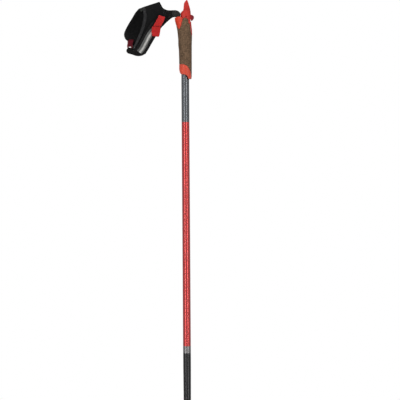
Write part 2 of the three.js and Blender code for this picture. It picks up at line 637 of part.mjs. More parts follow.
function tipFerrule() {
  const body = FERRULE_BODY_RADIUS;
  const mouth = shaftRadius(FERRULE_TOP) + SHAFT_FIT;
  const seat = SHAFT_BOTTOM - GAP;
  const pin = TIP_PIN_DIAMETER / 2 + 0.1;
  return toSolid(turned([
    [pin, FERRULE_BOTTOM], [FERRULE_NOSE_RADIUS, FERRULE_BOTTOM], [body - 0.6, FERRULE_BOTTOM + 18],
    [body, FERRULE_BOTTOM + 22], [body, SHAFT_BOTTOM + 2], [mouth + 0.8, FERRULE_TOP], [mouth, FERRULE_TOP],
    [SHAFT_END_DIAMETER / 2 + SHAFT_FIT, seat], [pin, seat], [pin, FERRULE_BOTTOM],
  ]));
}

function carbideTip() {
  const pin = TIP_PIN_DIAMETER / 2;
  return toSolid(turned([
    [0, TIP_Z], [TIP_FLAT_DIAMETER / 2, TIP_Z], [pin, TIP_Z + 5],
    [pin, PIN_SOCKET_TOP - GAP], [0, PIN_SOCKET_TOP - GAP],
  ], 16));
}

function basket() {
  const bore = FERRULE_BODY_RADIUS + GAP;
  const hub = bore + BASKET_HUB_WALL;
  const rim = BASKET_DIAMETER / 2;
  const low = FERRULE_BOTTOM + 24;
  const dish = toSolid(turned([
    [bore, low], [rim - 1, low + 5], [rim, low + 6], [rim, low + 6 + BASKET_THICKNESS],
    [hub + 4, low + BASKET_THICKNESS + 2], [hub, low + 5], [hub - 0.6, low + BASKET_HUB_HEIGHT],
    [bore, low + BASKET_HUB_HEIGHT], [bore, low],
  ], 40));
  const pitch = (2 * Math.PI) / BASKET_WINDOWS;
  const windows = Array.from({ length: BASKET_WINDOWS }, (_, i) => {
    const window = new THREE.Shape();
    window.absarc(0, 0, rim - 5, 0.28, pitch - 0.28, false);
    window.absarc(0, 0, hub + 4.5, pitch - 0.36, 0.36, true);
    const geometry = new THREE.ExtrudeGeometry(window, { depth: 40, curveSegments: 8, bevelEnabled: false });
    geometry.rotateZ(i * pitch);
    geometry.translate(0, 0, low - 10);
    return toSolid(geometry);
  });
  return windows.reduce((body, window) => body.subtract(window), dish);
}

// ---- Assembly -------------------------------------------------------------------------

const pole = new THREE.Group();

function add(name, solid, material) {
  const mesh = new THREE.Mesh(toGeometry(solid), material);
  mesh.name = name;
  pole.add(mesh);
}

add('shaft_tube', shaftTube(), SHAFT_PAINT);
add('grip_core', gripCore(), ORANGE);
add('cork_sleeve', corkSleeve(), CORK);
add('lower_collar', lowerCollar(), ORANGE);
add('grip_head', gripHead(), HEAD_RED);
add('lever_pin', leverPin(), STEEL);
add('lever_spring', leverSpring(), STEEL);
add('release_lever', releaseLever(), HEAD_RED);
add('thumb_pad', thumbPad(), DARK_RED);
add('loop_clip', loopClip(), BLACK_PLASTIC);
add('clip_bar', clipBar(), STEEL);
add('neck_webbing', neckWebbing(), BLACK_FABRIC);
add('hand_panel_near', handPanelNear(), BLACK_FABRIC);
add('hand_panel_far', handPanelFar(), BLACK_FABRIC);
add('rim_binding_near', rimBinding(NEAR_RIM, -1), GREY_BINDING);
add('rim_binding_far', rimBinding(FAR_RIM, 1), GREY_BINDING);
add('top_seam_tape', topSeamTape(), GREY_BINDING);
add('bottom_seam_tape', bottomSeamTape(), GREY_BINDING);
add('loop_pad', hookAndLoopPad(LOOP_PAD_INNER), BLACK_FABRIC);
add('hook_pad', hookAndLoopPad(HOOK_PAD_INNER), BLACK_FABRIC);
add('closing_band', closingBand(), BLACK_FABRIC);
add('band_patch', bandPatch(), GREY_RUBBER);
add('band_ring', ringBody(0), TAB_RED);
add('ring_webbing', ringWebbing(), DARK_RED);
add('pull_tab_upper', pullTabUpper(), TAB_RED);
add('pull_tab_lower', pullTabLower(), TAB_RED);
add('basket', basket(), BLACK_PLASTIC);
add('tip_ferrule', tipFerrule(), BLACK_PLASTIC);
add('carbide_tip', carbideTip(), STEEL);

export default pole;
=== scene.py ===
# %% [markdown]
# # A ski pole with a cork grip and a quick-release hand strap
#
# The mechanical model comes first and this script never changes it. It holds every piece at
# its real size, and the joints: the strap swings on the clip, the lever presses down, and
# the end of the pull tab flips up. Here each piece gets its looks. A piece is either a CAD
# node with a new finish, or a finer mesh that stands where its CAD node stands. Only the
# sewing is added, as pieces without a CAD node.

# %% Load the model
import math

import bmesh
import bpy
from mathutils import Matrix, Vector, noise


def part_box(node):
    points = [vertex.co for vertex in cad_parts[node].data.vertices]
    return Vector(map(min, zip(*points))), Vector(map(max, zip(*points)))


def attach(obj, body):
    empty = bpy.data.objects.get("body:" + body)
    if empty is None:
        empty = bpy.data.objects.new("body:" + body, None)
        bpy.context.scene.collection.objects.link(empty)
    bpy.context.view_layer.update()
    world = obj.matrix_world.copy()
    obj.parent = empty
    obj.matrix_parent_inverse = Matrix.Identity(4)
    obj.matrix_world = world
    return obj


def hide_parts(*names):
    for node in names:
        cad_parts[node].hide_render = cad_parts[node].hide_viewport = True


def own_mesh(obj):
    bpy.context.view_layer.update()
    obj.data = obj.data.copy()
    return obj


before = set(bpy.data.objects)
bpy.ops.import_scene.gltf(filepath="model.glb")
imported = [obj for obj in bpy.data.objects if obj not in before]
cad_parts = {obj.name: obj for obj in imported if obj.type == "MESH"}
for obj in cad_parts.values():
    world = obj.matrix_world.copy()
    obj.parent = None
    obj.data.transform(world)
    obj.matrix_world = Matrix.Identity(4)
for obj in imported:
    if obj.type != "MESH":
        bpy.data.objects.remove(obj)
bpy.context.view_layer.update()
MM = 0.001

# %% [markdown]
# ## The camera
#
# The pole stands upright and is looked at from its left side, level with a point about a
# third of the way down. It leans by a third of a degree. A long lens from six metres keeps
# the shaft's sides parallel, which a short lens from near would not, and it still gives true
# perspective. The frame is too small for the whole pole, so the lower end is cut off.

# %% Camera
CAMERA_DISTANCE = 6.0
VIEW_WIDTH = 0.824
VIEW_CENTRE = (0.0288, -0.3193)
LEAN_DEGREES = 0.369
SENSOR = 36.0


def make_camera():
    lens = bpy.data.cameras.new("camera")
    lens.sensor_width = SENSOR
    lens.lens = SENSOR * CAMERA_DISTANCE / VIEW_WIDTH
    lens.clip_end = 100
    camera = bpy.data.objects.new("camera", lens)
    camera.location = (VIEW_CENTRE[0], -CAMERA_DISTANCE, VIEW_CENTRE[1])
    camera.rotation_euler = (math.pi / 2, math.radians(LEAN_DEGREES), 0)
    bpy.context.collection.objects.link(camera)
    bpy.context.scene.camera = camera


make_camera()
print("camera lens:", round(bpy.context.scene.camera.data.lens), "mm")

# %% [markdown]
# ## Light and floor
#
# A glossy tube shows its lights as stripes. Two tall soft boxes stand to the left and right
# of the camera, so the shaft gets two bright stripes with a darker line between them. A wide
# panel high in front and a weak one behind fill the rest. The world looks white to the camera
# and in reflections, but it lights the pole at a lower level, so the colours aren't washed out.

# %% World
WORLD_FILL = 0.16


def make_world():
    world = bpy.data.worlds.new("studio")
    bpy.context.scene.world = world
    world.use_nodes = True
    nodes, links = world.node_tree.nodes, world.node_tree.links
    background = nodes["Background"]
    background.inputs["Color"].default_value = (1, 1, 1, 1)
    path = nodes.new("ShaderNodeLightPath")
    seen = path.outputs["Is Camera Ray"]
    for ray in ("Is Glossy Ray", "Is Transmission Ray"):
        either = nodes.new("ShaderNodeMath")
        either.operation = "MAXIMUM"
        links.new(seen, either.inputs[0])
        links.new(path.outputs[ray], either.inputs[1])
        seen = either.outputs[0]
    level = nodes.new("ShaderNodeMapRange")
    level.inputs["To Min"].default_value = WORLD_FILL
    level.inputs["To Max"].default_value = 1
    links.new(seen, level.inputs["Value"])
    links.new(level.outputs["Result"], background.inputs["Strength"])


make_world()
bpy.context.scene.view_settings.view_transform = "Standard"
print("world fill:", WORLD_FILL)

# %% Soft boxes
SUBJECT = Vector((0, 0, -0.3))


def soft_box(name, azimuth, height, distance, size, glow):
    """An area light that faces the pole. Azimuth 0 is the camera's side; glow is its brightness."""
    lamp = bpy.data.lights.new(name, "AREA")
    lamp.shape = "RECTANGLE"
    lamp.size, lamp.size_y = size
    lamp.energy = glow * math.pi * size[0] * size[1]
    box = bpy.data.objects.new(name, lamp)
    turn = math.radians(azimuth)
    box.location = (distance * math.sin(turn), -distance * math.cos(turn), height)
    box.rotation_euler = (SUBJECT - box.location).to_track_quat("-Z", "Y").to_euler()
    bpy.context.collection.objects.link(box)


soft_box("strip_left", -36, -0.2, 2.2, (0.25, 2.6), 10.8)
soft_box("strip_right", 34, -0.2, 2.2, (0.25, 2.6), 10.2)
soft_box("front", -14, 2.1, 2.2, (1.8, 1.4), 1.8)
soft_box("back_fill", 178, 1.6, 2.4, (2.2, 1.6), 0.6)
print("soft boxes:", len(bpy.data.lights))

# %% [markdown]
# ## Finishes
#
# A finish is a small network of nodes that ends in one shader. These helpers keep each
# network short: `put` adds a node and joins or sets its sockets, and the others build the
# few patterns that most finishes share. Colours are written as a screen shows them, from 0
# to 255, and turned into the linear values that a shader expects.

# %% Finish helpers
def shade(red, green, blue):
    """A screen colour as the shader's linear colour."""
    parts = [part / 255 for part in (red, green, blue)]
    return [p / 12.92 if p <= 0.04045 else ((p + 0.055) / 1.055) ** 2.4 for p in parts] + [1]


def new_finish(name, roughness, fixed=()):
    made = bpy.data.materials.new(name)
    made.use_nodes = True
    shader = made.node_tree.nodes["Principled BSDF"]
    shader.inputs["Roughness"].default_value = roughness
    for socket, value in dict(fixed).items():
        shader.inputs[socket].default_value = value
    return made


def put(finish, kind, inputs=(), **settings):
    """Adds a node, with its settings and with each input set or joined."""
    nodes, links = finish.node_tree.nodes, finish.node_tree.links
    made = nodes.new("ShaderNode" + kind)
    for setting, value in settings.items():
        setattr(made, setting, value)
    for socket, value in dict(inputs).items():
        if isinstance(value, bpy.types.NodeSocket):
            links.new(value, made.inputs[socket])
        else:
            made.inputs[socket].default_value = value
    return made


def join(finish, socket, value):
    """Joins an output to one of the shader's own sockets."""
    shader = finish.node_tree.nodes["Principled BSDF"]
    finish.node_tree.links.new(value, shader.inputs[socket])


def worked_out(finish, operation, first, second=0.0):
    return put(finish, "Math", {0: first, 1: second}, operation=operation).outputs[0]


def mixed(finish, factor, first, second):
    made = put(finish, "Mix", {0: factor, 6: first, 7: second}, data_type="RGBA")
    return made.outputs[2]


def scaled(colour, share):
    return [min(1, part * share) for part in colour[:3]] + [1]


def ramp(finish, factor, stops):
    made = put(finish, "ValToRGB", {"Fac": factor})
    band = made.color_ramp
    while len(band.elements) < len(stops):
        band.elements.new(1)
    for element, (position, colour) in zip(band.elements, stops):
        element.position = position
        element.color = colour
    return made.outputs["Color"]


def spread(finish, value, low, high, from_low=0.0, from_high=1.0):
    made = put(finish, "MapRange", {
        "Value": value, "From Min": from_low, "From Max": from_high, "To Min": low, "To Max": high})
    return made.outputs["Result"]


def place(finish, source="Object", scale=(1, 1, 1), turn=(0, 0, 0)):
    """Coordinates on the piece: metres on Object, centimetres of cloth on UV."""
    coords = put(finish, "TexCoord").outputs[source]
    return put(finish, "Mapping", {"Vector": coords, "Scale": scale, "Rotation": turn}).outputs[0]


def grain(finish, where, scale, detail=3.0, roughness=0.5):
    made = put(finish, "TexNoise", {
        "Vector": where, "Scale": scale, "Detail": detail, "Roughness": roughness})
    return made.outputs["Fac"]


def bump(finish, height, strength, depth, below=None):
    inputs = {"Height": height, "Strength": strength, "Distance": depth}
    if below is not None:
        inputs["Normal"] = below
    made = put(finish, "Bump", inputs).outputs["Normal"]
    join(finish, "Normal", made)
    return made


print("white is", [round(part, 2) for part in shade(255, 255, 255)])

# %% [markdown]
# ## Moulded plastics and rubber
#
# The head, the lever, the lobe behind the cork and the collar are nylon, moulded in a
# satin tool. Such a surface has a very fine grain, its colour drifts slightly with the flow
# of the plastic, and its edges are lighter: partly rubbed by gloves, partly a painted
# highlight where an edge would catch the light. Pointiness finds the edges on a fine mesh,
# so this wear and painted highlight follow the shape.

# %% Moulded finishes
def moulded_finish(name, colour, roughness, wear_and_highlight=0.25, grain_depth=0.05, fixed=()):
    finish = new_finish(name, roughness, fixed)
    where = place(finish)
    flow = grain(finish, where, 55, 4)
    drifted = ramp(finish, flow, [
        (0.3, scaled(colour, 0.84)), (0.5, colour), (0.72, scaled(colour, 1.12))])
    # Convex edges turn paler: partly wear rubbed by gloves, partly a painted highlight where an
    # edge would catch the light.
    edge = put(finish, "NewGeometry").outputs["Pointiness"]
    scuffs = grain(finish, where, 900, 2)
    rubbed_and_lit_edges = worked_out(finish, "MULTIPLY", spread(finish, edge, 0, wear_and_highlight, 0.505, 0.57), scuffs)
    pale = [min(1, part * 0.55 + 0.28) for part in colour[:3]] + [1]
    join(finish, "Base Color", mixed(finish, rubbed_and_lit_edges, drifted, pale))
    join(finish, "Roughness", spread(finish, flow, roughness - 0.07, roughness + 0.1, 0.3, 0.7))
    tool = grain(finish, where, 2600, 3, 0.6)
    bump(finish, tool, 0.35, grain_depth * MM)
    return finish


SATIN = {"Specular IOR Level": 0.25}
SOFT_TOUCH = {"Specular IOR Level": 0.2, "Sheen Weight": 0.05}
head_finish = moulded_finish("head_red", shade(196, 50, 40), 0.42, fixed=SATIN)
lever_finish = moulded_finish("lever_red", shade(192, 46, 40), 0.38, fixed=SATIN)
lobe_finish = moulded_finish("lobe_orange", shade(214, 66, 42), 0.45, fixed=SATIN)
# The collar is the same orange plastic as the lobe, painted lighter as if more light fell on it.
collar_painted_light_finish = moulded_finish("collar_orange_painted_light", shade(220, 82, 60), 0.45, fixed=SATIN)
# The pad's dark red is the head's red with painted shade in it.
thumb_painted_shade_finish = moulded_finish("thumb_rubber_painted_shade", shade(122, 26, 38), 0.6, 0.1, fixed=SOFT_TOUCH)
# The ring is red plastic; its dark red is painted shade, as it lies in the shade inside the strap.
ring_painted_shade_finish = moulded_finish("ring_red_painted_shade", shade(112, 22, 34), 0.36, 0.3, fixed=SATIN)
clip_finish = moulded_finish("clip_black", shade(17, 16, 15), 0.5, 0.08, fixed=SOFT_TOUCH)
basket_finish = moulded_finish("basket_black", shade(30, 30, 31), 0.5, 0.2, fixed=SATIN)
print("last moulded finish:", basket_finish.name)

# %% [markdown]
# ## Cork
#
# The hand hold is pressed cork: granules a couple of millimetres across, glued into a block
# and sanded. Each granule has its own brown, dark glue shows in the joints, and some
# granules have torn out and left pits. Voronoi cells give the granules, and the distance to
# the cell's edge gives the joints.

# %% Cork finish
CORK_GRANULE = 1.8 * MM
CORK_BEND = 1.1 * MM


def cork_finish():
    finish = new_finish("cork", 0.86, {"Specular IOR Level": 0.18, "Sheen Weight": 0.08})
    where = place(finish)
    bend = put(finish, "TexNoise", {"Vector": where, "Scale": 420, "Detail": 3})
    offset = put(finish, "VectorMath", {0: bend.outputs["Color"], 1: (CORK_BEND,) * 3},
                 operation="MULTIPLY").outputs[0]
    where = put(finish, "VectorMath", {0: where, 1: offset}, operation="ADD").outputs[0]
    scale = 1 / CORK_GRANULE
    cells = put(finish, "TexVoronoi", {"Vector": where, "Scale": scale})
    tone = put(finish, "SeparateColor", {"Color": cells.outputs["Color"]}).outputs["Red"]
    brown = ramp(finish, tone, [
        (0.0, shade(84, 66, 50)), (0.35, shade(108, 86, 66)), (0.7, shade(122, 98, 76)),
        (1.0, shade(136, 108, 82))])
    joints = put(finish, "TexVoronoi", {"Vector": where, "Scale": scale},
                 feature="DISTANCE_TO_EDGE").outputs["Distance"]
    glue = spread(finish, joints, 0.5, 0, 0, 0.1)
    brown = mixed(finish, glue, brown, shade(66, 50, 38))
    specks = grain(finish, where, 1900, 3, 0.65)
    brown = mixed(finish, spread(finish, specks, 0.6, 0, 0.3, 0.46), brown, shade(48, 36, 28))
    join(finish, "Base Color", brown)
    rough = bump(finish, specks, 0.5, 0.18 * MM)
    bump(finish, joints, 0.5, 0.25 * MM, rough)
    return finish


cork = cork_finish()
print("granules per centimetre:", round(0.01 / CORK_GRANULE, 1))

# %% [markdown]
# ## Shaft lacquer and metal
#
# The shaft is a tapered tube, sprayed in bands: grey under the grip, then a long red band,
# a narrow pale ring, and black to the tip. The bands are read from the height on the piece,
# and so is the thin dark line below the collar. The colours have metal flake in them, so they
# shine in their own hue, and the black lets the fibres of the tube show through a little.
# Clear lacquer over all of it is the shader's coat.

# %% Shaft finish
RED_TOP = -158.6 * MM
RED_BOTTOM = -620 * MM
RING_BOTTOM = -634.5 * MM
COLLAR_DARK_LINE = -79 * MM
DARK_LINE_HALF_WIDTH = 0.5 * MM


def shaft_finish():
    finish = new_finish("shaft_lacquer", 0.2, {
        "Metallic": 0.75, "Specular IOR Level": 0.05, "Specular Tint": (0.1, 0.1, 0.1, 1),
        "Coat Weight": 0.3, "Coat Roughness": 0.06})
    where = place(finish)
    height = put(finish, "SeparateXYZ", {"Vector": where}).outputs["Z"]
    flake = grain(finish, where, 2400, 2)
    grey = mixed(finish, flake, shade(62, 65, 69), shade(94, 97, 100))
    red = mixed(finish, grain(finish, where, 30, 3), shade(152, 50, 50), shade(164, 60, 58))
    fibre = place(finish, scale=(700, 700, 320), turn=(0.5, 0.3, 0))
    weave = put(finish, "TexWave", {"Vector": fibre, "Scale": 1, "Distortion": 0.4}).outputs["Fac"]
    black = mixed(finish, weave, shade(24, 24, 25), shade(40, 40, 41))
    pale = shade(104, 102, 102)
    colour = black
    for level, band in ((RING_BOTTOM, pale), (RED_BOTTOM, red), (RED_TOP, grey)):
        colour = mixed(finish, worked_out(finish, "GREATER_THAN", height, level), colour, band)
    # A thin ring just below the collar is painted darker.
    dark_line = put(finish, "Math", {0: height, 1: COLLAR_DARK_LINE, 2: DARK_LINE_HALF_WIDTH}, operation="COMPARE")
    colour = mixed(finish, dark_line.outputs[0], colour, shade(52, 54, 57))
    scratch = grain(finish, place(finish, scale=(900, 900, 60)), 1, 4, 0.7)
    worn = spread(finish, scratch, 0, 0.3, 0.66, 0.8)
    join(finish, "Base Color", mixed(finish, worn, colour, shade(168, 166, 164)))
    join(finish, "Roughness", spread(finish, scratch, 0.18, 0.28, 0.4, 0.75))
    bump(finish, grain(finish, where, 800, 2), 0.05, 0.05 * MM)
    return finish


def steel_finish(name, colour, roughness):
    """Ground metal: fine rings round the axis, a little uneven in gloss."""
    finish = new_finish(name, roughness, {"Metallic": 1.0})
    rings = grain(finish, place(finish, scale=(300, 300, 4000)), 1, 3)
    join(finish, "Base Color", mixed(finish, rings, scaled(colour, 0.72), colour))
    join(finish, "Roughness", spread(finish, rings, roughness - 0.08, roughness + 0.12))
    bump(finish, rings, 0.12, 0.05 * MM)
    return finish


lacquer = shaft_finish()
steel = steel_finish("steel", shade(196, 198, 201), 0.3)
carbide = steel_finish("carbide", shade(150, 150, 152), 0.36)
coated_steel = steel_finish("coated_steel", shade(150, 40, 38), 0.5)
black_steel = steel_finish("black_steel", shade(52, 50, 49), 0.45)
print("red band:", round((RED_TOP - RED_BOTTOM) / MM), "mm")

# %% [markdown]
# ## Cloth
#
# The strap is sewn from woven nylon. A weave is threads that pass over and under each
# other, so two sets of ridges at right angles are taken in turn, square by square, as on a
# draughts board. On a piece laid out flat first, the pattern reads the piece's own UV map,
# in centimetres, and follows the curve of the cuff. On the others it reads the side view.

# %% Woven finish
MM_PER_CM = 10
MM_PER_M = 1000


def woven_finish(name, valley_shade, lit_crown, pitch, source="UV", roughness=0.85, sheen=0.12, depth=0.14):
    """Plain weave; pitch is the width of one thread in millimetres."""
    finish = new_finish(name, roughness, {
        "Sheen Weight": sheen, "Sheen Roughness": 0.45, "Specular IOR Level": 0.12})
    scale = ((MM_PER_CM if source == "UV" else MM_PER_M) / pitch,) * 3
    turn = (0, 0, 0) if source == "UV" else (math.pi / 2, 0, 0)
    where = place(finish, source, scale, turn)
    parts = put(finish, "SeparateXYZ", {"Vector": where})
    ridges = []
    for axis in ("X", "Y"):
        angle = worked_out(finish, "MULTIPLY", parts.outputs[axis], math.pi)
        ridges.append(worked_out(finish, "ABSOLUTE", worked_out(finish, "SINE", angle)))
    board = put(finish, "TexChecker", {
        "Vector": put(finish, "CombineXYZ", {
            "X": parts.outputs["X"], "Y": parts.outputs["Y"]}).outputs[0],
        "Scale": 1.0, "Color1": (1, 1, 1, 1), "Color2": (0, 0, 0, 1)}).outputs["Fac"]
    thread = mixed(finish, board, ridges[0], ridges[1])
    fuzz = grain(finish, where, 2.2, 4, 0.6)
    patchy = grain(finish, place(finish), 45, 3)
    tone = worked_out(finish, "MULTIPLY", thread, spread(finish, fuzz, 0.55, 1.1, 0.3, 0.7))
    tone = worked_out(finish, "MULTIPLY", tone, spread(finish, patchy, 0.75, 1.15, 0.3, 0.7))
    # The colour runs from painted shade in the valleys between threads to a painted highlight on
    # their crowns, and it also varies at random with fuzz and patches.
    join(finish, "Base Color", mixed(finish, tone, valley_shade, lit_crown))
    bump(finish, thread, 0.55, depth * MM)
    return finish


PANEL_THREAD = 0.9
CLOTH_SHADOW = shade(5, 6, 6)
panel_finish = woven_finish("panel_fabric", CLOTH_SHADOW, shade(20, 20, 21), PANEL_THREAD)
webbing_finish = woven_finish("black_webbing", CLOTH_SHADOW, shade(22, 20, 20), 1.1, "Object")
binding_finish = woven_finish("binding_tape", shade(20, 20, 21), shade(58, 58, 59), 0.7, sheen=0.3)
tape_finish = woven_finish("seam_tape", shade(34, 36, 34), shade(78, 82, 78), 0.8, "Object")
tab_finish = woven_finish("red_webbing", shade(160, 24, 24), shade(226, 56, 54), 1.3, roughness=0.7)
# The ring's webbing is red, darkened by painted shade like the ring.
loop_painted_shade_finish = woven_finish("ring_loop_red_painted_shade", shade(52, 6, 16), shade(120, 26, 40), 1.0, "Object")
pad_finish = woven_finish("hook_and_loop", shade(8, 8, 8), shade(34, 34, 35), 0.6,
                          sheen=0.3, depth=0.3)
print("thread of the panels:", PANEL_THREAD, "mm")

# %% [markdown]
# The outside of the closing band carries a printed rubber patch, so the fingers can grip
# it, with a pale reflective stripe down its middle. The real one may carry lettering there.
# This one stays plain. Sewing thread is a small twisted cord, so it has diagonal lines.

# %% Rubber and thread
PATCH_STRIPE_AT = 0.58
PATCH_RIB_CM = 0.13


def patch_finish():
    finish = new_finish("grip_patch", 0.52, {"Specular IOR Level": 0.4, "Sheen Weight": 0.1})
    across = put(finish, "TexCoord").outputs["UV"]
    parts = put(finish, "SeparateXYZ", {"Vector": across})
    off_middle = worked_out(finish, "SUBTRACT", parts.outputs["X"], PATCH_STRIPE_AT)
    off_middle = worked_out(finish, "ABSOLUTE", off_middle)
    stripe = spread(finish, off_middle, 1, 0, 0.12, 0.22)
    ribs = put(finish, "Math", {0: parts.outputs["Y"], 1: PATCH_RIB_CM}, operation="PINGPONG")
    ribbed = spread(finish, ribs.outputs[0], 0, 1, 0.01, 0.08)
    speck = grain(finish, place(finish), 700, 3)
    grey = mixed(finish, speck, shade(70, 71, 70), shade(98, 99, 97))
    bright = mixed(finish, ribbed, shade(146, 146, 143), shade(196, 195, 191))
    join(finish, "Base Color", mixed(finish, stripe, grey, bright))
    bump(finish, speck, 0.3, 0.08 * MM)
    return finish


def thread_finish(name, colour):
    finish = new_finish(name, 0.7, {"Sheen Weight": 0.3, "Specular IOR Level": 0.3})
    where = place(finish, scale=(2600, 2600, 2600), turn=(0.6, 0.5, 0.8))
    twist = put(finish, "TexWave", {"Vector": where, "Scale": 1}).outputs["Fac"]
    join(finish, "Base Color", mixed(finish, twist, scaled(colour, 0.55), colour))
    bump(finish, twist, 0.4, 0.06 * MM)
    return finish


grip_patch = patch_finish()
grey_thread = thread_finish("grey_thread", shade(74, 74, 75))
black_thread = thread_finish("black_thread", shade(48, 48, 49))
red_thread = thread_finish("red_thread", shade(146, 26, 30))
print("finishes:", len([m for m in bpy.data.materials if m.use_nodes]))

# %% [markdown]
# ## Pieces made from a mesh
#
# Every new piece ends the same way: its mesh becomes an object at the origin, it rides on
# a body, it takes a finish, and it stands in for its CAD node if it has one. Edges that turn
# by more than a given angle stay sharp in the shading.

# %% Finishing a piece
SHARP_TURN = math.radians(38)


def finished(name, shape, body, finish, stands_for=()):
    """Makes a bmesh into a piece that rides on a body and has a finish."""
    for edge in shape.edges:
        edge.smooth = not edge.is_manifold or edge.calc_face_angle() < SHARP_TURN
    for face in shape.faces:
        face.smooth = True
    mesh = bpy.data.meshes.new(name)
    shape.to_mesh(mesh)
    shape.free()
    mesh.materials.append(finish)
    piece = bpy.data.objects.new(name, mesh)
    bpy.context.collection.objects.link(piece)
    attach(piece, body)
    if stands_for:
        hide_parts(*stands_for)
    print(name, "on", body, "-", len(mesh.polygons), "faces")
    return piece


def applied(piece):
    """Replaces a piece's mesh by what its modifiers make of it."""
    graph = bpy.context.evaluated_depsgraph_get()
    mesh = bpy.data.meshes.new_from_object(piece.evaluated_get(graph))
    piece.modifiers.clear()
    piece.data = mesh


# %% [markdown]
# ## Moulded pieces
#
# A moulding has no sharp edges: the tool is rounded wherever a hand goes. The CAD solid has
# the right size and all its holes, but crisp corners. Rebuilding it as an even net of small
# squares and then smoothing that net rounds every corner by the same amount and keeps the
# size. A bevel would need clean edges, which solids cut by each other don't have.
#
# In the CAD model a gap of 0.3 mm parts neighbours that really touch. Pieces that are glued
# or moulded onto each other grow by about half of that gap, so that no light shows between
# them. The head grows a little more, because the cork beside it stays as it is.

# %% Moulding helper
def moulded(node, body, finish, voxel=0.45, passes=8, grow=0.0):
    """A fine, rounded copy of a CAD node. The voxel and how far it grows are in millimetres."""
    shape = bmesh.new()
    shape.from_mesh(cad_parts[node].data)
    bmesh.ops.remove_doubles(shape, verts=shape.verts, dist=0.002 * MM)
    piece = finished(node + "_moulded", shape, body, finish, (node,))
    net = piece.modifiers.new("net", "REMESH")
    net.mode = "VOXEL"
    net.voxel_size = voxel * MM
    net.use_smooth_shade = True
    soften = piece.modifiers.new("soften", "SMOOTH")
    soften.factor = 0.5
    soften.iterations = passes
    if grow:
        swollen = piece.modifiers.new("swollen", "DISPLACE")
        swollen.strength = grow * MM
        swollen.mid_level = 0
    applied(piece)
    print("  rounded to", len(piece.data.polygons), "faces")
    return piece


# %% [markdown]
# The horn is a finger tab, so it gets thinner towards its top, and the rubber pad has a domed
# front. Both are shaped by moving their skin towards the pole's middle plane. How much of the
# width is taken rises smoothly between two places in the side view.

# %% Grip
TOUCHING = 0.16
HORN_TAPER = (71, 92)
HORN_TAKEN = 0.36
PAD_DOME = (13.4, 18.8)
PAD_TAKEN = 0.34


def smoothstep(value, low=0.0, high=1.0):
    value = min(1, max(0, (value - low) / (high - low)))
    return value * value * (3 - 2 * value)


def slimmed(piece, share):
    """Narrows a piece to a share of its width that depends on the place in the side view."""
    for vertex in piece.data.vertices:
        vertex.co.y *= share(vertex.co.x / MM, vertex.co.z / MM)


moulded("grip_head", "root", head_finish, 0.24, 40, 1.5 * TOUCHING)
moulded("grip_core", "root", lobe_finish, 0.5, 5, TOUCHING)
moulded("lower_collar", "root", collar_painted_light_finish, 0.45, 6, TOUCHING)
moulded("loop_clip", "root", clip_finish, 0.35, 5, 2 * TOUCHING)
horn = moulded("release_lever", "lever", lever_finish, 0.4, 10)
slimmed(horn, lambda x, z: 1 - HORN_TAKEN * smoothstep(z, *HORN_TAPER))
pad = moulded("thumb_pad", "lever", thumb_painted_shade_finish, 0.3, 14, 2 * TOUCHING)
slimmed(pad, lambda x, z: 1 - PAD_TAKEN * smoothstep(x, *PAD_DOME) ** 2)
print("grip done")

# %% [markdown]
# Cork is sanded, not moulded, so after the rounding its skin is pitted a little. A vertex
# sinks where it is near the middle of a Voronoi cell, in patches that a second noise gives,
# so the torn-out granules have real depth.

# %% Cork sleeve
PIT_DEPTH = 0.28
PIT_SPACING = 1.9
PIT_REACH = 0.34
PATCH_SPACING = 4.3
PATCH_SHARE = 0.12
PIT_STEEPNESS = 2.2


def pit(piece):
    """Sinks spots of the skin, in patches; the reach of a pit is a share of its spacing."""
    spots = []
    for vertex in piece.data.vertices:
        from_pit = noise.voronoi(vertex.co / (PIT_SPACING * MM))[0][0]
        sunk = max(0.0, PIT_REACH - from_pit) / PIT_REACH
        patch = max(0.0, noise.noise(vertex.co / (PATCH_SPACING * MM)) + PATCH_SHARE)
        depth = PIT_DEPTH * MM * min(1.0, PIT_STEEPNESS * sunk * patch)
        spots.append(vertex.co - vertex.normal * depth)
    for vertex, spot in zip(piece.data.vertices, spots):
        vertex.co = spot


sleeve = moulded("cork_sleeve", "root", cork, 0.5, 8)
pit(sleeve)

# %% [markdown]
# ## Turned pieces
#
# The shaft, the ferrule and the carbide pin are round, so each is one closed outline of
# radius and height, spun once about the pole's axis. Spinning gives a clean net that a
# lathe-turned or drawn tube would have, and the outline is easy to read and change.

# %% Spinning helper
def turned(outline, steps=72, edge=0.25):
    """Spins a closed outline of (radius, height) in millimetres about the Z axis."""
    shape = bmesh.new()
    corners = [shape.verts.new((radius * MM, 0, height * MM)) for radius, height in outline]
    sides = [shape.edges.new(pair) for pair in zip(corners, corners[1:] + corners[:1])]
    bmesh.ops.spin(shape, geom=corners + sides, axis=(0, 0, 1), cent=(0, 0, 0), dvec=(0, 0, 0),
                   angle=2 * math.pi, steps=steps, use_merge=True)
    bmesh.ops.remove_doubles(shape, verts=shape.verts, dist=0.001 * MM)
    bmesh.ops.dissolve_degenerate(shape, edges=shape.edges, dist=0.001 * MM)
    bmesh.ops.recalc_face_normals(shape, faces=shape.faces)
    crisp = [side for side in shape.edges if side.calc_face_angle(0) > SHARP_TURN]
    bmesh.ops.bevel(shape, geom=crisp, offset=edge * MM, offset_type="OFFSET", affect="EDGES",
                    segments=2, profile=0.5, material=-1, clamp_overlap=True)
    return shape


# %% Shaft
SHAFT_RADIUS = 8
SHAFT_END_RADIUS = 5
SHAFT_WALL = 1.3
TAPER_START = -660
shaft_low, shaft_high = (corner[2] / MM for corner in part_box("shaft_tube"))


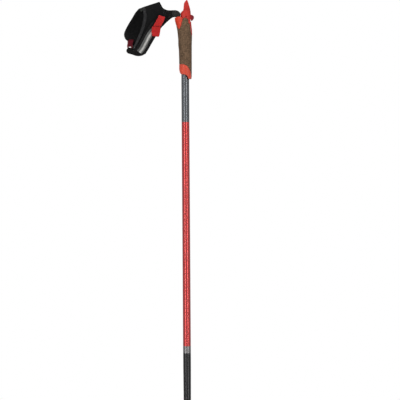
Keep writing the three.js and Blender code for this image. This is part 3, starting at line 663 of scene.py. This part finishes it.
def make_shaft():
    outline = [
        (SHAFT_END_RADIUS, shaft_low), (SHAFT_RADIUS, TAPER_START), (SHAFT_RADIUS, shaft_high),
        (SHAFT_RADIUS - SHAFT_WALL, shaft_high), (SHAFT_RADIUS - SHAFT_WALL, TAPER_START),
        (SHAFT_END_RADIUS - SHAFT_WALL, shaft_low)]
    finished("shaft", turned(outline), "root", lacquer, ("shaft_tube",))


make_shaft()

# %% [markdown]
# The lower end is a plastic ferrule sleeved over the shaft, with the hard carbide pin held
# in its nose. The ferrule has a few shallow rings near its mouth, as such ferrules do where
# the glue line ends.

# %% Ferrule and pin
PIN_RADIUS = 2.5
PIN_FLAT_RADIUS = 1.2
PIN_POINT = 5
FERRULE_WALL = 1.8
FIT = 0.2
NOSE_LENGTH = 18
SHOULDER_LENGTH = 4
MOUTH_WALL = 0.8
RINGS = 3
RING_PITCH = 3
FIRST_RING = 14
tip_low, pin_high = (corner[2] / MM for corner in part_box("carbide_tip"))
ferrule_low, ferrule_high = (corner[2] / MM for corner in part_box("tip_ferrule"))


def make_pin():
    outline = [(0, tip_low), (PIN_FLAT_RADIUS, tip_low), (PIN_RADIUS, tip_low + PIN_POINT),
               (PIN_RADIUS, pin_high), (0, pin_high)]
    shape = turned(outline, 40, 0.15)
    finished("carbide_pin", shape, "root", carbide, ("carbide_tip",))


def make_ferrule():
    body = SHAFT_END_RADIUS + FIT + FERRULE_WALL
    reach = (ferrule_high - shaft_low) / (TAPER_START - shaft_low)
    mouth = SHAFT_END_RADIUS + (SHAFT_RADIUS - SHAFT_END_RADIUS) * reach + FIT
    seat = shaft_low - 0.3
    socket = PIN_RADIUS + 0.1
    outline = [(socket, ferrule_low), (PIN_RADIUS + FERRULE_WALL, ferrule_low),
               (body - 0.6, ferrule_low + NOSE_LENGTH),
               (body, ferrule_low + NOSE_LENGTH + SHOULDER_LENGTH), (body, shaft_low + 2)]
    for ring in range(RINGS):
        level = ferrule_high - FIRST_RING + RING_PITCH * ring
        outline += [(body - 0.1, level), (body - 0.4, level + 0.5), (body - 0.4, level + 1.1),
                    (body - 0.1, level + 1.6)]
    outline += [(mouth + MOUTH_WALL, ferrule_high), (mouth, ferrule_high),
                (SHAFT_END_RADIUS + FIT, seat), (socket, seat)]
    shape = turned(outline)
    finished("ferrule", shape, "root", basket_finish, ("tip_ferrule",))


make_pin()
make_ferrule()
moulded("basket", "root", basket_finish, 0.6, 5)
print("pole ends", round(-tip_low), "mm below the middle of the hold")

# %% [markdown]
# ## Small metal parts
#
# The lever's pin and the clip's bar have the right shape already, so the CAD nodes stay. The
# pin is coated to match the head, and the bar is blackened.

# %% Steel on the CAD nodes
for node, metal in (("lever_pin", coated_steel), ("clip_bar", black_steel)):
    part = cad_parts[node]
    part.data.materials.clear()
    part.data.materials.append(metal)
    print(node, "in", metal.name)

# %% [markdown]
# The spring is a circle of wire, spun and lifted at once into a coil. It stands on the floor of
# the head's slot, and the lever presses down on it.

# %% Lever spring
COIL_MIDDLE = Vector((8.6, 0, 0))
COIL_RADIUS = 2
COIL_WIRE = 0.6
COIL_TURNS = 3.5
COIL_ENDS = (48.3, 53.7)
STEPS_PER_TURN = 28


def make_spring():
    shape = bmesh.new()
    wire = bmesh.ops.create_circle(shape, cap_ends=True, segments=10, radius=COIL_WIRE / 2,
                                   matrix=Matrix.Rotation(math.pi / 2, 4, "X"))["verts"]
    start = COIL_MIDDLE + Vector((COIL_RADIUS, 0, COIL_ENDS[0] + COIL_WIRE / 2))
    bmesh.ops.translate(shape, vec=start, verts=wire)
    steps = round(COIL_TURNS * STEPS_PER_TURN)
    rise = COIL_ENDS[1] - COIL_ENDS[0] - COIL_WIRE
    bmesh.ops.spin(shape, geom=shape.faces[:], axis=(0, 0, 1), cent=COIL_MIDDLE,
                   dvec=(0, 0, rise / steps), angle=COIL_TURNS * 2 * math.pi, steps=steps)
    bmesh.ops.recalc_face_normals(shape, faces=shape.faces)
    bmesh.ops.scale(shape, vec=(MM, MM, MM), verts=shape.verts)
    spring = finished("spring", shape, "root", steel, ("lever_spring",))
    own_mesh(spring)


make_spring()

# %% [markdown]
# ## The shape of the cuff
#
# The cuff is a flattened sleeve for the hand. Its two panels are sewn together along the
# top and along the bottom, in the pole's middle plane, and bow apart between those seams.
# One formula gives how far a panel stands from the middle at any place in the side view.
# Every layer of the strap uses it, so they nest like real layers of cloth do.

# %% Cuff surface
HALF_WIDTH = 22
TOP_SEAM = (Vector((-93, 75.8)), Vector((-51.8, 89)))
BOTTOM_SEAM = (Vector((-118, -16)), Vector((-84, -22)))
CUFF_END = Vector((-112.6, 1))
CUFF_END_REACH = 40
NECK_ALONG = (-95, -38)
NECK_UP = (10, 45)
NEAR, FAR = -1, 1


def distance_from(seam, x, z):
    start, end = seam
    along = (end - start).normalized()
    return abs((x - start.x) * along.y - (z - start.y) * along.x)


def bulge(x, z):
    """How far a panel bows out from the middle plane, in millimetres."""
    top = distance_from(TOP_SEAM, x, z)
    bottom = distance_from(BOTTOM_SEAM, x, z)
    bow = math.sin(math.pi * top / (top + bottom))
    neck = smoothstep(x, *NECK_ALONG) * smoothstep(z, *NECK_UP)
    end = smoothstep(1 - (CUFF_END - Vector((x, z))).length / CUFF_END_REACH)
    return HALF_WIDTH * bow * (1 - neck) * (1 - end)


def on_cuff(x, z, height, side):
    """A point over the cuff, in metres; height counts from the panels' common middle."""
    return Vector((x, side * (bulge(x, z) + height), z)) * MM


def smooth_line(points):
    """A smooth curve through points of the side view, as a function of 0 to 1."""
    knots = [Vector(point) for point in points]

    def at(t):
        t = min(1, max(0, t)) * (len(knots) - 1)
        i = min(int(t), len(knots) - 2)
        t -= i
        before, start, end = knots[max(i - 1, 0)], knots[i], knots[i + 1]
        after = knots[min(i + 2, len(knots) - 1)]
        leave, arrive = (end - before) / 2, (after - start) / 2
        return ((2 * start - 2 * end + leave + arrive) * t ** 3
                + (3 * end - 3 * start - 2 * leave - arrive) * t ** 2 + leave * t + start)

    return at


print("widest bow:", round(max(bulge(-100, z) for z in range(-10, 70)), 1), "mm")

# %% [markdown]
# The outlines of the strap's layers in the side view are smooth curves that run downwards.
# They are the same curves that the CAD model uses, so each new layer fills its solid.

# %% Strap outlines
FRONT_EDGE = smooth_line([
    (-52, 89.6), (-46.8, 80), (-41, 70), (-38.5, 59), (-42.5, 45.5), (-51.1, 33), (-62, 16.5),
    (-69.4, 4), (-76, -8.2), (-82.4, -18.4)])
NEAR_RIM = smooth_line([
    (-88, 78.1), (-85, 66), (-84.7, 55.6), (-86.7, 43.3), (-90.2, 30.9), (-95.5, 18.5),
    (-100.7, 7.2), (-106, -2.2), (-109.5, -12.4)])
FAR_RIM = smooth_line([
    (-94.6, 76), (-102, 68), (-109, 57.2), (-116.2, 46.2), (-122.8, 34.6), (-126.2, 24),
    (-123, 13.5), (-115.6, 7.4), (-111, -1.5), (-109.5, -12.4)])
BAND_UPPER = smooth_line([
    (-64, 50), (-72, 40.6), (-82.1, 24.7), (-89, 12), (-95.6, 0.4), (-102.6, -9), (-107.6, -9.4),
    (-113, -8.6)])
BAND_LOWER = smooth_line([
    (-52, 42), (-57, 27), (-64.5, 13.5), (-71, 2), (-77.8, -10.6), (-85.4, -20.6), (-98, -22.8),
    (-110, -19)])
PATCH_UPPER = smooth_line([(-68, 34.4), (-76.6, 24), (-85, 9.4), (-93, -4.6), (-99, -11.4)])
PATCH_LOWER = smooth_line([(-60.8, 28.2), (-67.4, 16.2), (-74.6, 3.6), (-82, -9.8), (-89.4, -18.8)])
PAD_LEFT = smooth_line([(-65, 46), (-73, 34), (-80, 22)])
PAD_RIGHT = smooth_line([(-56, 38), (-62.4, 26), (-69, 12)])
TAB_LEFT = smooth_line([(-52.8, 61.2), (-58, 51), (-65, 38.3)])
TAB_RIGHT = smooth_line([(-40.4, 57.4), (-42.8, 50), (-48.8, 38.3)])
FLAP_LEFT = smooth_line([(-66.6, 37.7), (-68.4, 29), (-67.4, 19.4), (-64.2, 16.6)])
FLAP_RIGHT = smooth_line([(-49.6, 37.7), (-50.2, 29), (-52.2, 17.8), (-54.6, 15.4)])
print("front edge from", tuple(FRONT_EDGE(0)), "to", tuple(FRONT_EDGE(1)))

# %% [markdown]
# Heights count outwards from the panels' bow. Each layer has its cloth's real thickness,
# and a small gap keeps it off the layer below.

# %% Layer heights
PANEL = (2.3, 5.3)
BINDING = (5.8, 7.0)
LOOP_PAD = (5.8, 6.9)
HOOK_PAD = (7.4, 8.5)
BAND = (9.0, 11.0)
PATCH = (11.5, 12.5)
TAB = (11.5, 15.0)
FLAP = (13.0, 15.0)
print("layers from", PANEL[0], "to", FLAP[1], "mm")

# %% [markdown]
# ## Cutting and laying the cloth
#
# A layer starts as a flat grid, like cloth on the cutting table, and gets its UV map there.
# The grid is extruded once to give it a back. Then each vertex moves to its place on the
# cuff, between the layer's two outlines. One round of subdivision rounds the cut edges.

# %% Cloth helper
def line_length(line, height, side, steps=40):
    spots = [on_cuff(*line(i / steps), height, side) for i in range(steps + 1)]
    return sum((b - a).length for a, b in zip(spots, spots[1:]))


def cloth_layer(left, right, heights, side, columns, rows, relief=None, unit_uv=False):
    """A slab of cloth on the cuff. relief(across, down) adds millimetres to its outer face."""
    shape = bmesh.new()
    uv = shape.loops.layers.uv.new("cloth")
    bmesh.ops.create_grid(shape, x_segments=columns, y_segments=rows, size=0.5)
    sheet = bmesh.ops.extrude_face_region(shape, geom=shape.faces[:], use_keep_orig=True)
    outer = {item for item in sheet["geom"] if isinstance(item, bmesh.types.BMVert)}
    long = (line_length(left, heights[1], side) + line_length(right, heights[1], side)) / 2
    wide = (on_cuff(*left(0.4), heights[1], side) - on_cuff(*right(0.4), heights[1], side)).length
    cloth = (1 if unit_uv else wide * 100, long * 100)
    for face in shape.faces:
        for loop in face.loops:
            spot = loop.vert.co
            loop[uv].uv = ((spot.x + 0.5) * cloth[0], (0.5 - spot.y) * cloth[1])
    for vertex in shape.verts:
        across, down = vertex.co.x + 0.5, 0.5 - vertex.co.y
        place_in_view = left(down).lerp(right(down), across)
        height = heights[0]
        if vertex in outer:
            height = heights[1] + (relief(across, down) if relief else 0)
        vertex.co = on_cuff(*place_in_view, height, side)
    bmesh.ops.recalc_face_normals(shape, faces=shape.faces)
    return shape


def rounded(piece):
    turn = piece.modifiers.new("rounded", "SUBSURF")
    turn.levels = turn.render_levels = 1


# %% [markdown]
# ## Hand panels
#
# The two panels are foam faced with fabric. Between its seams the foam stands a little
# proud, and it is pinched where it is sewn. The pinch is part of the layer's relief. The
# slack between the seams comes from a short cloth simulation: the sewn edges are held, air
# pressure pushes the faces out, and no point may move further than foam of this thickness
# would. Where the closing band lies on the near panel, the cloth stays flat under it.

# %% Panel relief and simulation
SEAM_PINCH = 1.7
PINCH_SHARE = 0.07
SWELL_MOST = 1.1
SIM_FRAMES = 20
BAND_HALF_WIDTH = 11.5
SEWN_AT_RIM = 7.5
SEWN_AT_FRONT = 2.5
SEWN_AT_SEAM = 3
FADE = 6


def pinched(across, down):
    from_seam = min(down, 1 - down)
    return -SEAM_PINCH * (1 - smoothstep(from_seam / PINCH_SHARE))


def under_band(x, z):
    middle = [(BAND_UPPER(i / 30) + BAND_LOWER(i / 30)) / 2 for i in range(31)]
    return min((Vector((x, z)) - spot).length for spot in middle) < BAND_HALF_WIDTH


def free_of(distance, sewn):
    """0 within the sewn margin, and 1 from FADE beyond it."""
    return smoothstep((distance - sewn) / FADE)


def hold_weight(piece, rim, covered):
    """1 where the panel is sewn down or covered, 0 where it is free."""
    rim_line = [rim(i / 40) for i in range(41)]
    front_line = [FRONT_EDGE(i / 40) for i in range(41)]
    weights = []
    for vertex in piece.data.vertices:
        spot = Vector((vertex.co.x, vertex.co.z)) / MM
        from_rim = min((spot - edge).length for edge in rim_line)
        from_front = min((spot - edge).length for edge in front_line)
        from_seam = min(distance_from(TOP_SEAM, *spot), distance_from(BOTTOM_SEAM, *spot))
        free = free_of(from_rim, SEWN_AT_RIM) * free_of(from_front, SEWN_AT_FRONT)
        free *= free_of(from_seam, SEWN_AT_SEAM)
        if covered and under_band(*spot):
            free = 0
        weights.append(1 - free)
    return weights


def swell(piece, weights):
    """Blows the panel up between its seams and caps how far it may go."""
    sewn = piece.vertex_groups.new(name="sewn")
    for index, weight in enumerate(weights):
        sewn.add([index], weight, "REPLACE")
    before = [vertex.co.copy() for vertex in piece.data.vertices]
    cloth = piece.modifiers.new("cloth", "CLOTH")
    settings = cloth.settings
    settings.quality = 6
    settings.mass = 0.08
    settings.tension_stiffness = settings.compression_stiffness = 8
    settings.bending_stiffness = 0.2
    settings.vertex_group_mass = "sewn"
    settings.pin_stiffness = 1
    settings.use_pressure = True
    settings.uniform_pressure_force = 4
    settings.shrink_min = -0.05
    settings.effector_weights.gravity = 0
    cloth.point_cache.frame_end = SIM_FRAMES
    scene = bpy.context.scene
    for step in range(1, SIM_FRAMES + 1):
        scene.frame_set(step)
    graph = bpy.context.evaluated_depsgraph_get()
    blown = [vertex.co.copy() for vertex in piece.evaluated_get(graph).data.vertices]
    piece.modifiers.remove(cloth)
    scene.frame_set(1)
    furthest = 0
    for vertex, start, end, weight in zip(piece.data.vertices, before, blown, weights):
        move = (end - start) * (1 - weight)
        furthest = max(furthest, move.length)
        if move.length > SWELL_MOST * MM:
            move *= SWELL_MOST * MM / move.length
        vertex.co = start + move
    print("  cloth moved up to", round(furthest / MM, 2), "mm, kept to", SWELL_MOST)


# %% Hand panels
def make_panel(name, node, rim, side, columns, covered):
    shape = cloth_layer(rim, FRONT_EDGE, PANEL, side, columns, 64, pinched)
    piece = finished(name, shape, "strap", panel_finish, (node,))
    swell(piece, hold_weight(piece, rim, covered))
    rounded(piece)


make_panel("near_panel", "hand_panel_near", NEAR_RIM, NEAR, 30, True)
make_panel("far_panel", "hand_panel_far", FAR_RIM, FAR, 42, False)

# %% [markdown]
# ## Bindings, pads, band and tabs
#
# The rims where the hand goes in are bound with ribbed tape, which shows two raised lines.
# The closing band goes round the ring and back onto itself, and closes with hook and loop
# pads. It carries the grip patch, and the red pull tab is sewn to its end.

# %% Rim bindings
BINDING_WIDTH = 6
BINDING_LOWER = 0.94
RIB_HEIGHT = 0.45
RIB_HALF_WIDTH = 0.09


def two_ribs(across, down):
    """Two raised lines along the tape."""
    return RIB_HEIGHT * sum(math.exp(-((across - rib) / RIB_HALF_WIDTH) ** 2) for rib in (0.2, 0.8))


def make_binding(name, node, rim, side):
    left = lambda t: rim(t * BINDING_LOWER)
    right = lambda t: left(t) + Vector((BINDING_WIDTH, 0))
    shape = cloth_layer(left, right, BINDING, side, 14, 70, two_ribs)
    piece = finished(name, shape, "strap", binding_finish, (node,))
    rounded(piece)


make_binding("near_binding", "rim_binding_near", NEAR_RIM, NEAR)
make_binding("far_binding", "rim_binding_far", FAR_RIM, FAR)

# %% Pads and grip patch
PATCH_RIBS = 24
PATCH_RIB_HEIGHT = 0.22
PATCH_RIB_REACH = 0.25
PATCH_EDGE_DROP = 0.3
PATCH_EDGE_SHARE = 0.12


def at_edges(share, amount, reach):
    """An amount that is full at the two edges, where share is 0 and 1, and fades out inwards."""
    return amount * (1 - smoothstep(min(share, 1 - share) / reach))


def patch_ribs(across, down):
    """Fine ribs over the stripe, and edges that are pressed down."""
    fade = 1 - smoothstep(abs(across - PATCH_STRIPE_AT) / PATCH_RIB_REACH)
    ribs = PATCH_RIB_HEIGHT * math.cos(2 * math.pi * down * PATCH_RIBS) * fade
    return ribs - at_edges(across, PATCH_EDGE_DROP, PATCH_EDGE_SHARE)


def make_flat(name, node, left, right, heights, size, finish, relief=None, body="strap",
              unit_uv=False):
    shape = cloth_layer(left, right, heights, NEAR, *size, relief, unit_uv)
    piece = finished(name, shape, body, finish, (node,))
    rounded(piece)


make_flat("loop_field", "loop_pad", PAD_LEFT, PAD_RIGHT, LOOP_PAD, (14, 30),
          pad_finish)
make_flat("hook_field", "hook_pad", PAD_LEFT, PAD_RIGHT, HOOK_PAD, (14, 30),
          pad_finish)
make_flat("grip_patch", "band_patch", PATCH_UPPER, PATCH_LOWER, PATCH, (12, 110),
          grip_patch, patch_ribs, unit_uv=True)

# %% [markdown]
# The band, the neck, the ring's webbing and the two seam tapes wrap round other pieces, so
# they aren't simple layers. Their CAD solids are rounded in the same way as the mouldings.

# %% Wrapped webbing
moulded("closing_band", "strap", webbing_finish, 0.45, 6)
moulded("neck_webbing", "strap", webbing_finish, 0.5, 8)
moulded("ring_webbing", "strap", loop_painted_shade_finish, 0.4, 6)
moulded("top_seam_tape", "strap", tape_finish, 0.4, 5)
moulded("bottom_seam_tape", "strap", tape_finish, 0.4, 5)

# %% [markdown]
# The pull tab is one length of red webbing, folded over. Its upper half is sewn to the band.
# The lower half is free, and flips up about the fold. Webbing has thicker edges, where the
# weft turns back, and it thins out towards its cut and folded ends.

# %% Pull tab
SELVEDGE_RISE = 0.25
SELVEDGE_SHARE = 0.1
TAB_END_DROP = 0.3
TAB_END_SHARE = 0.08


def webbing_relief(across, down):
    raised = at_edges(across, SELVEDGE_RISE, SELVEDGE_SHARE)
    return raised - at_edges(down, TAB_END_DROP, TAB_END_SHARE)


make_flat("tab_sewn_end", "pull_tab_upper", TAB_LEFT, TAB_RIGHT, TAB, (16, 26),
          tab_finish, webbing_relief)
make_flat("tab_free_end", "pull_tab_lower", FLAP_LEFT, FLAP_RIGHT, FLAP, (16, 24),
          tab_finish, webbing_relief, "tab")

# %% [markdown]
# ## The ring
#
# The ring is a moulded oval bar. A circle of points for the bar is stretched to an oval
# section and spun about the ring's axis. The result is a round ring, so each vertex is then
# moved in or out to make the opening taller than it is wide, at an even bar width.

# %% Ring
RING_MIDDLE = Vector((-113.4, -2, -1.5))
RING_HALF = Vector((6, 8.8))
RING_BAR = 3.6
RING_THICKNESS = 3.4
SPIN_RADIUS = 10
BAR_SIDES = 20
RING_STEPS = 56


def make_ring():
    shape = bmesh.new()
    section = bmesh.ops.create_circle(shape, segments=BAR_SIDES, radius=1)["verts"]
    bmesh.ops.scale(shape, vec=(RING_BAR / 2, RING_THICKNESS / 2, 1), verts=section)
    bmesh.ops.translate(shape, vec=(SPIN_RADIUS, 0, 0), verts=section)
    bmesh.ops.spin(shape, geom=shape.verts[:] + shape.edges[:], axis=(0, 1, 0), cent=(0, 0, 0),
                   dvec=(0, 0, 0), angle=2 * math.pi, steps=RING_STEPS, use_merge=True)
    reach = RING_HALF - Vector((RING_BAR, RING_BAR)) / 2
    for vertex in shape.verts:
        x, y, z = vertex.co
        turn, out = math.atan2(z, x), math.hypot(x, z) - SPIN_RADIUS
        vertex.co = (RING_MIDDLE + Vector(
            ((reach.x + out) * math.cos(turn), y, (reach.y + out) * math.sin(turn)))) * MM
    bmesh.ops.recalc_face_normals(shape, faces=shape.faces)
    finished("ring", shape, "strap", ring_painted_shade_finish, ("band_ring",))


make_ring()

# %% [markdown]
# ## Stitching
#
# Sewing is what shows that a strap is made of layers. A stitch is a short thread that
# sinks into the cloth at both ends. Each is a small ball of twenty faces, drawn out along
# the seam and laid half into the surface. All the stitches of one seam are one piece.

# %% Stitch helper
STITCH_LENGTH = 2.3
STITCH_GAP = 0.9
STITCH_WIDTH = 0.62


def spots_along(points, spacing):
    """Evenly spaced (point, direction) pairs along a chain of points."""
    chain, walked, wanted = [], 0.0, spacing / 2
    for start, end in zip(points, points[1:]):
        step = (end - start).length
        while walked + step > wanted:
            chain.append((start.lerp(end, (wanted - walked) / step), (end - start).normalized()))
            wanted += spacing
        walked += step
    return chain


def sew(shape, points, out):
    """Adds a row of stitches along points in metres; out is the way the cloth faces."""
    for spot, along in spots_along(points, (STITCH_LENGTH + STITCH_GAP) * MM):
        side = out.cross(along).normalized()
        face = along.cross(side)
        turn = Matrix((along, side, face)).transposed().to_4x4()
        size = Matrix.Diagonal((STITCH_LENGTH, STITCH_WIDTH, STITCH_WIDTH, 1))
        bmesh.ops.create_icosphere(shape, subdivisions=1, radius=0.5 * MM,
                                   matrix=Matrix.Translation(spot) @ turn @ size)


def row(line, height, side, start=0.02, end=0.98, steps=90):
    places = [start + (end - start) * i / steps for i in range(steps + 1)]
    return [on_cuff(*line(share), height, side) for share in places]


def beside(left, right, share):
    """A line between two outlines, at a share of the way from left to right."""
    return lambda t: left(t).lerp(right(t), share)


def seam(name, rows, body, slot, thread, out=(0, -1, 0)):
    shape = bmesh.new()
    for points in rows:
        sew(shape, points, Vector(out))
    finished(name, shape, body, thread)


# %% Seams
near_tape = lambda t: NEAR_RIM(t * BINDING_LOWER) + Vector((BINDING_WIDTH / 2, 0))
far_tape = lambda t: FAR_RIM(t * BINDING_LOWER) + Vector((BINDING_WIDTH / 2, 0))
seam("near_rim_stitches", [row(near_tape, BINDING[1], NEAR)], "strap", "grey_binding", grey_thread)
seam("far_rim_stitches", [row(far_tape, BINDING[1], FAR)], "strap", "grey_binding", grey_thread)
near_edge, far_edge = beside(NEAR_RIM, FRONT_EDGE, 0.93), beside(FAR_RIM, FRONT_EDGE, 0.95)
seam("near_panel_stitches", [row(near_edge, PANEL[1], NEAR, 0.07, 0.93)], "strap", "black_fabric",
     black_thread)
seam("far_panel_stitches", [row(far_edge, PANEL[1], FAR, 0.07, 0.93)], "strap", "black_fabric",
     black_thread)
band_edges = [beside(BAND_UPPER, BAND_LOWER, share) for share in (0.1, 0.9)]
band_rows = [row(edge, BAND[1], NEAR, 0.03, 0.9) for edge in band_edges]
seam("band_stitches", band_rows, "strap", "black_fabric", black_thread)

# %% [markdown]
# The sewn end of the tab has the usual box of stitches with a cross in it, which spreads
# the pull over both layers. The free end has a hem.

# %% Tab stitches
SAME_PLACE = 0.001 * MM


def on_tab(left, right, height, spots, steps=14):
    """Points along straight lines between (across, down) spots on a tab."""
    chain = []
    for (u0, v0), (u1, v1) in zip(spots, spots[1:]):
        for i in range(steps + 1):
            share = i / steps
            down = v0 + (v1 - v0) * share
            view = left(down).lerp(right(down), u0 + (u1 - u0) * share)
            point = on_cuff(*view, height, NEAR)
            if not chain or (point - chain[-1]).length > SAME_PLACE:
                chain.append(point)
    return chain


BOX = [(0.15, 0.1), (0.85, 0.1), (0.85, 0.72), (0.15, 0.72), (0.15, 0.1)]
CROSS = [[(0.15, 0.1), (0.85, 0.72)], [(0.85, 0.1), (0.15, 0.72)]]
HEM = [(0.12, 0.8), (0.88, 0.8)]
box_rows = [on_tab(TAB_LEFT, TAB_RIGHT, TAB[1], spots) for spots in [BOX] + CROSS]
seam("tab_box_stitches", box_rows, "strap", "red_webbing", red_thread)
hem_row = on_tab(FLAP_LEFT, FLAP_RIGHT, FLAP[1], HEM)
seam("tab_hem_stitches", [hem_row], "tab", "red_webbing", red_thread)

# %% [markdown]
# The neck is two layers of webbing sewn together behind the clip's bar, so both of its
# faces show rows of stitches that follow its edges. The top seam has a row on its tape.

# %% Neck and top seam stitches
NECK_FACE = 2.0
NECK_UPPER = smooth_line([(-27, 69), (-33, 68.6), (-39, 70.2), (-45, 73.6)])
NECK_LOWER = smooth_line([(-27, 59.6), (-32, 57.4), (-38, 51.8)])
NECK_ACROSS = smooth_line([(-29.5, 68), (-29.8, 64), (-30, 59.5)])


def flat_row(line, y, steps=40):
    spots = [line(i / steps) for i in range(steps + 1)]
    return [Vector((spot.x, y, spot.y)) * MM for spot in spots]


neck_rows = [flat_row(line, side * NECK_FACE) for side in (NEAR, FAR)
             for line in (NECK_UPPER, NECK_LOWER, NECK_ACROSS)]
seam("neck_stitches", neck_rows, "strap", "black_fabric", black_thread)
top_line = smooth_line([(-91, 75.9), (-54.5, 87.6)])
seam("top_seam_stitches", [flat_row(top_line, 0)], "strap", "grey_binding", grey_thread, (0, 0, 1))

# %% [markdown]
# ## The floor
#
# The pole stands on its tip. The floor is part of the stage, not of the object: pale and
# matt, with the pole's shadow on it. It fades to the white of the world away from the pole,
# so no edge shows behind it.

# %% Floor
FLOOR_RADIUS = 3.0
FLOOR_WHITE = 0.45
FLOOR_CLEAR = (0.2, 2.0)


def floor_finish():
    finish = new_finish("studio_floor", 0.9, {"Specular IOR Level": 0.1})
    where = place(finish)
    speck = grain(finish, where, 60, 3)
    join(finish, "Base Color", mixed(finish, speck, shade(228, 228, 226), shade(236, 236, 234)))
    nodes, links = finish.node_tree.nodes, finish.node_tree.links
    out = nodes["Material Output"]
    flat = put(finish, "VectorMath", {0: where, 1: (1, 1, 0)}, operation="MULTIPLY").outputs[0]
    away = put(finish, "VectorMath", {0: flat}, operation="LENGTH").outputs["Value"]
    fade = spread(finish, away, FLOOR_WHITE, 1, *FLOOR_CLEAR)
    glow = put(finish, "Emission", {"Color": (1, 1, 1, 1), "Strength": 1.0})
    seen = put(finish, "LightPath").outputs["Is Camera Ray"]
    both = put(finish, "MixShader", {
        0: worked_out(finish, "MULTIPLY", fade, seen),
        1: nodes["Principled BSDF"].outputs[0], 2: glow.outputs[0]})
    links.new(both.outputs[0], out.inputs["Surface"])
    return finish


def make_floor():
    shape = bmesh.new()
    bmesh.ops.create_circle(shape, cap_ends=True, segments=96, radius=FLOOR_RADIUS,
                            matrix=Matrix.Translation((0, 0, tip_low * MM)))
    mesh = bpy.data.meshes.new("floor")
    shape.to_mesh(mesh)
    shape.free()
    mesh.materials.append(floor_finish())
    floor = bpy.data.objects.new("floor", mesh)
    bpy.context.collection.objects.link(floor)


make_floor()
print("floor at", round(tip_low), "mm")

# %% [markdown]
# ## Finish
#

# %% End
print("scene built")
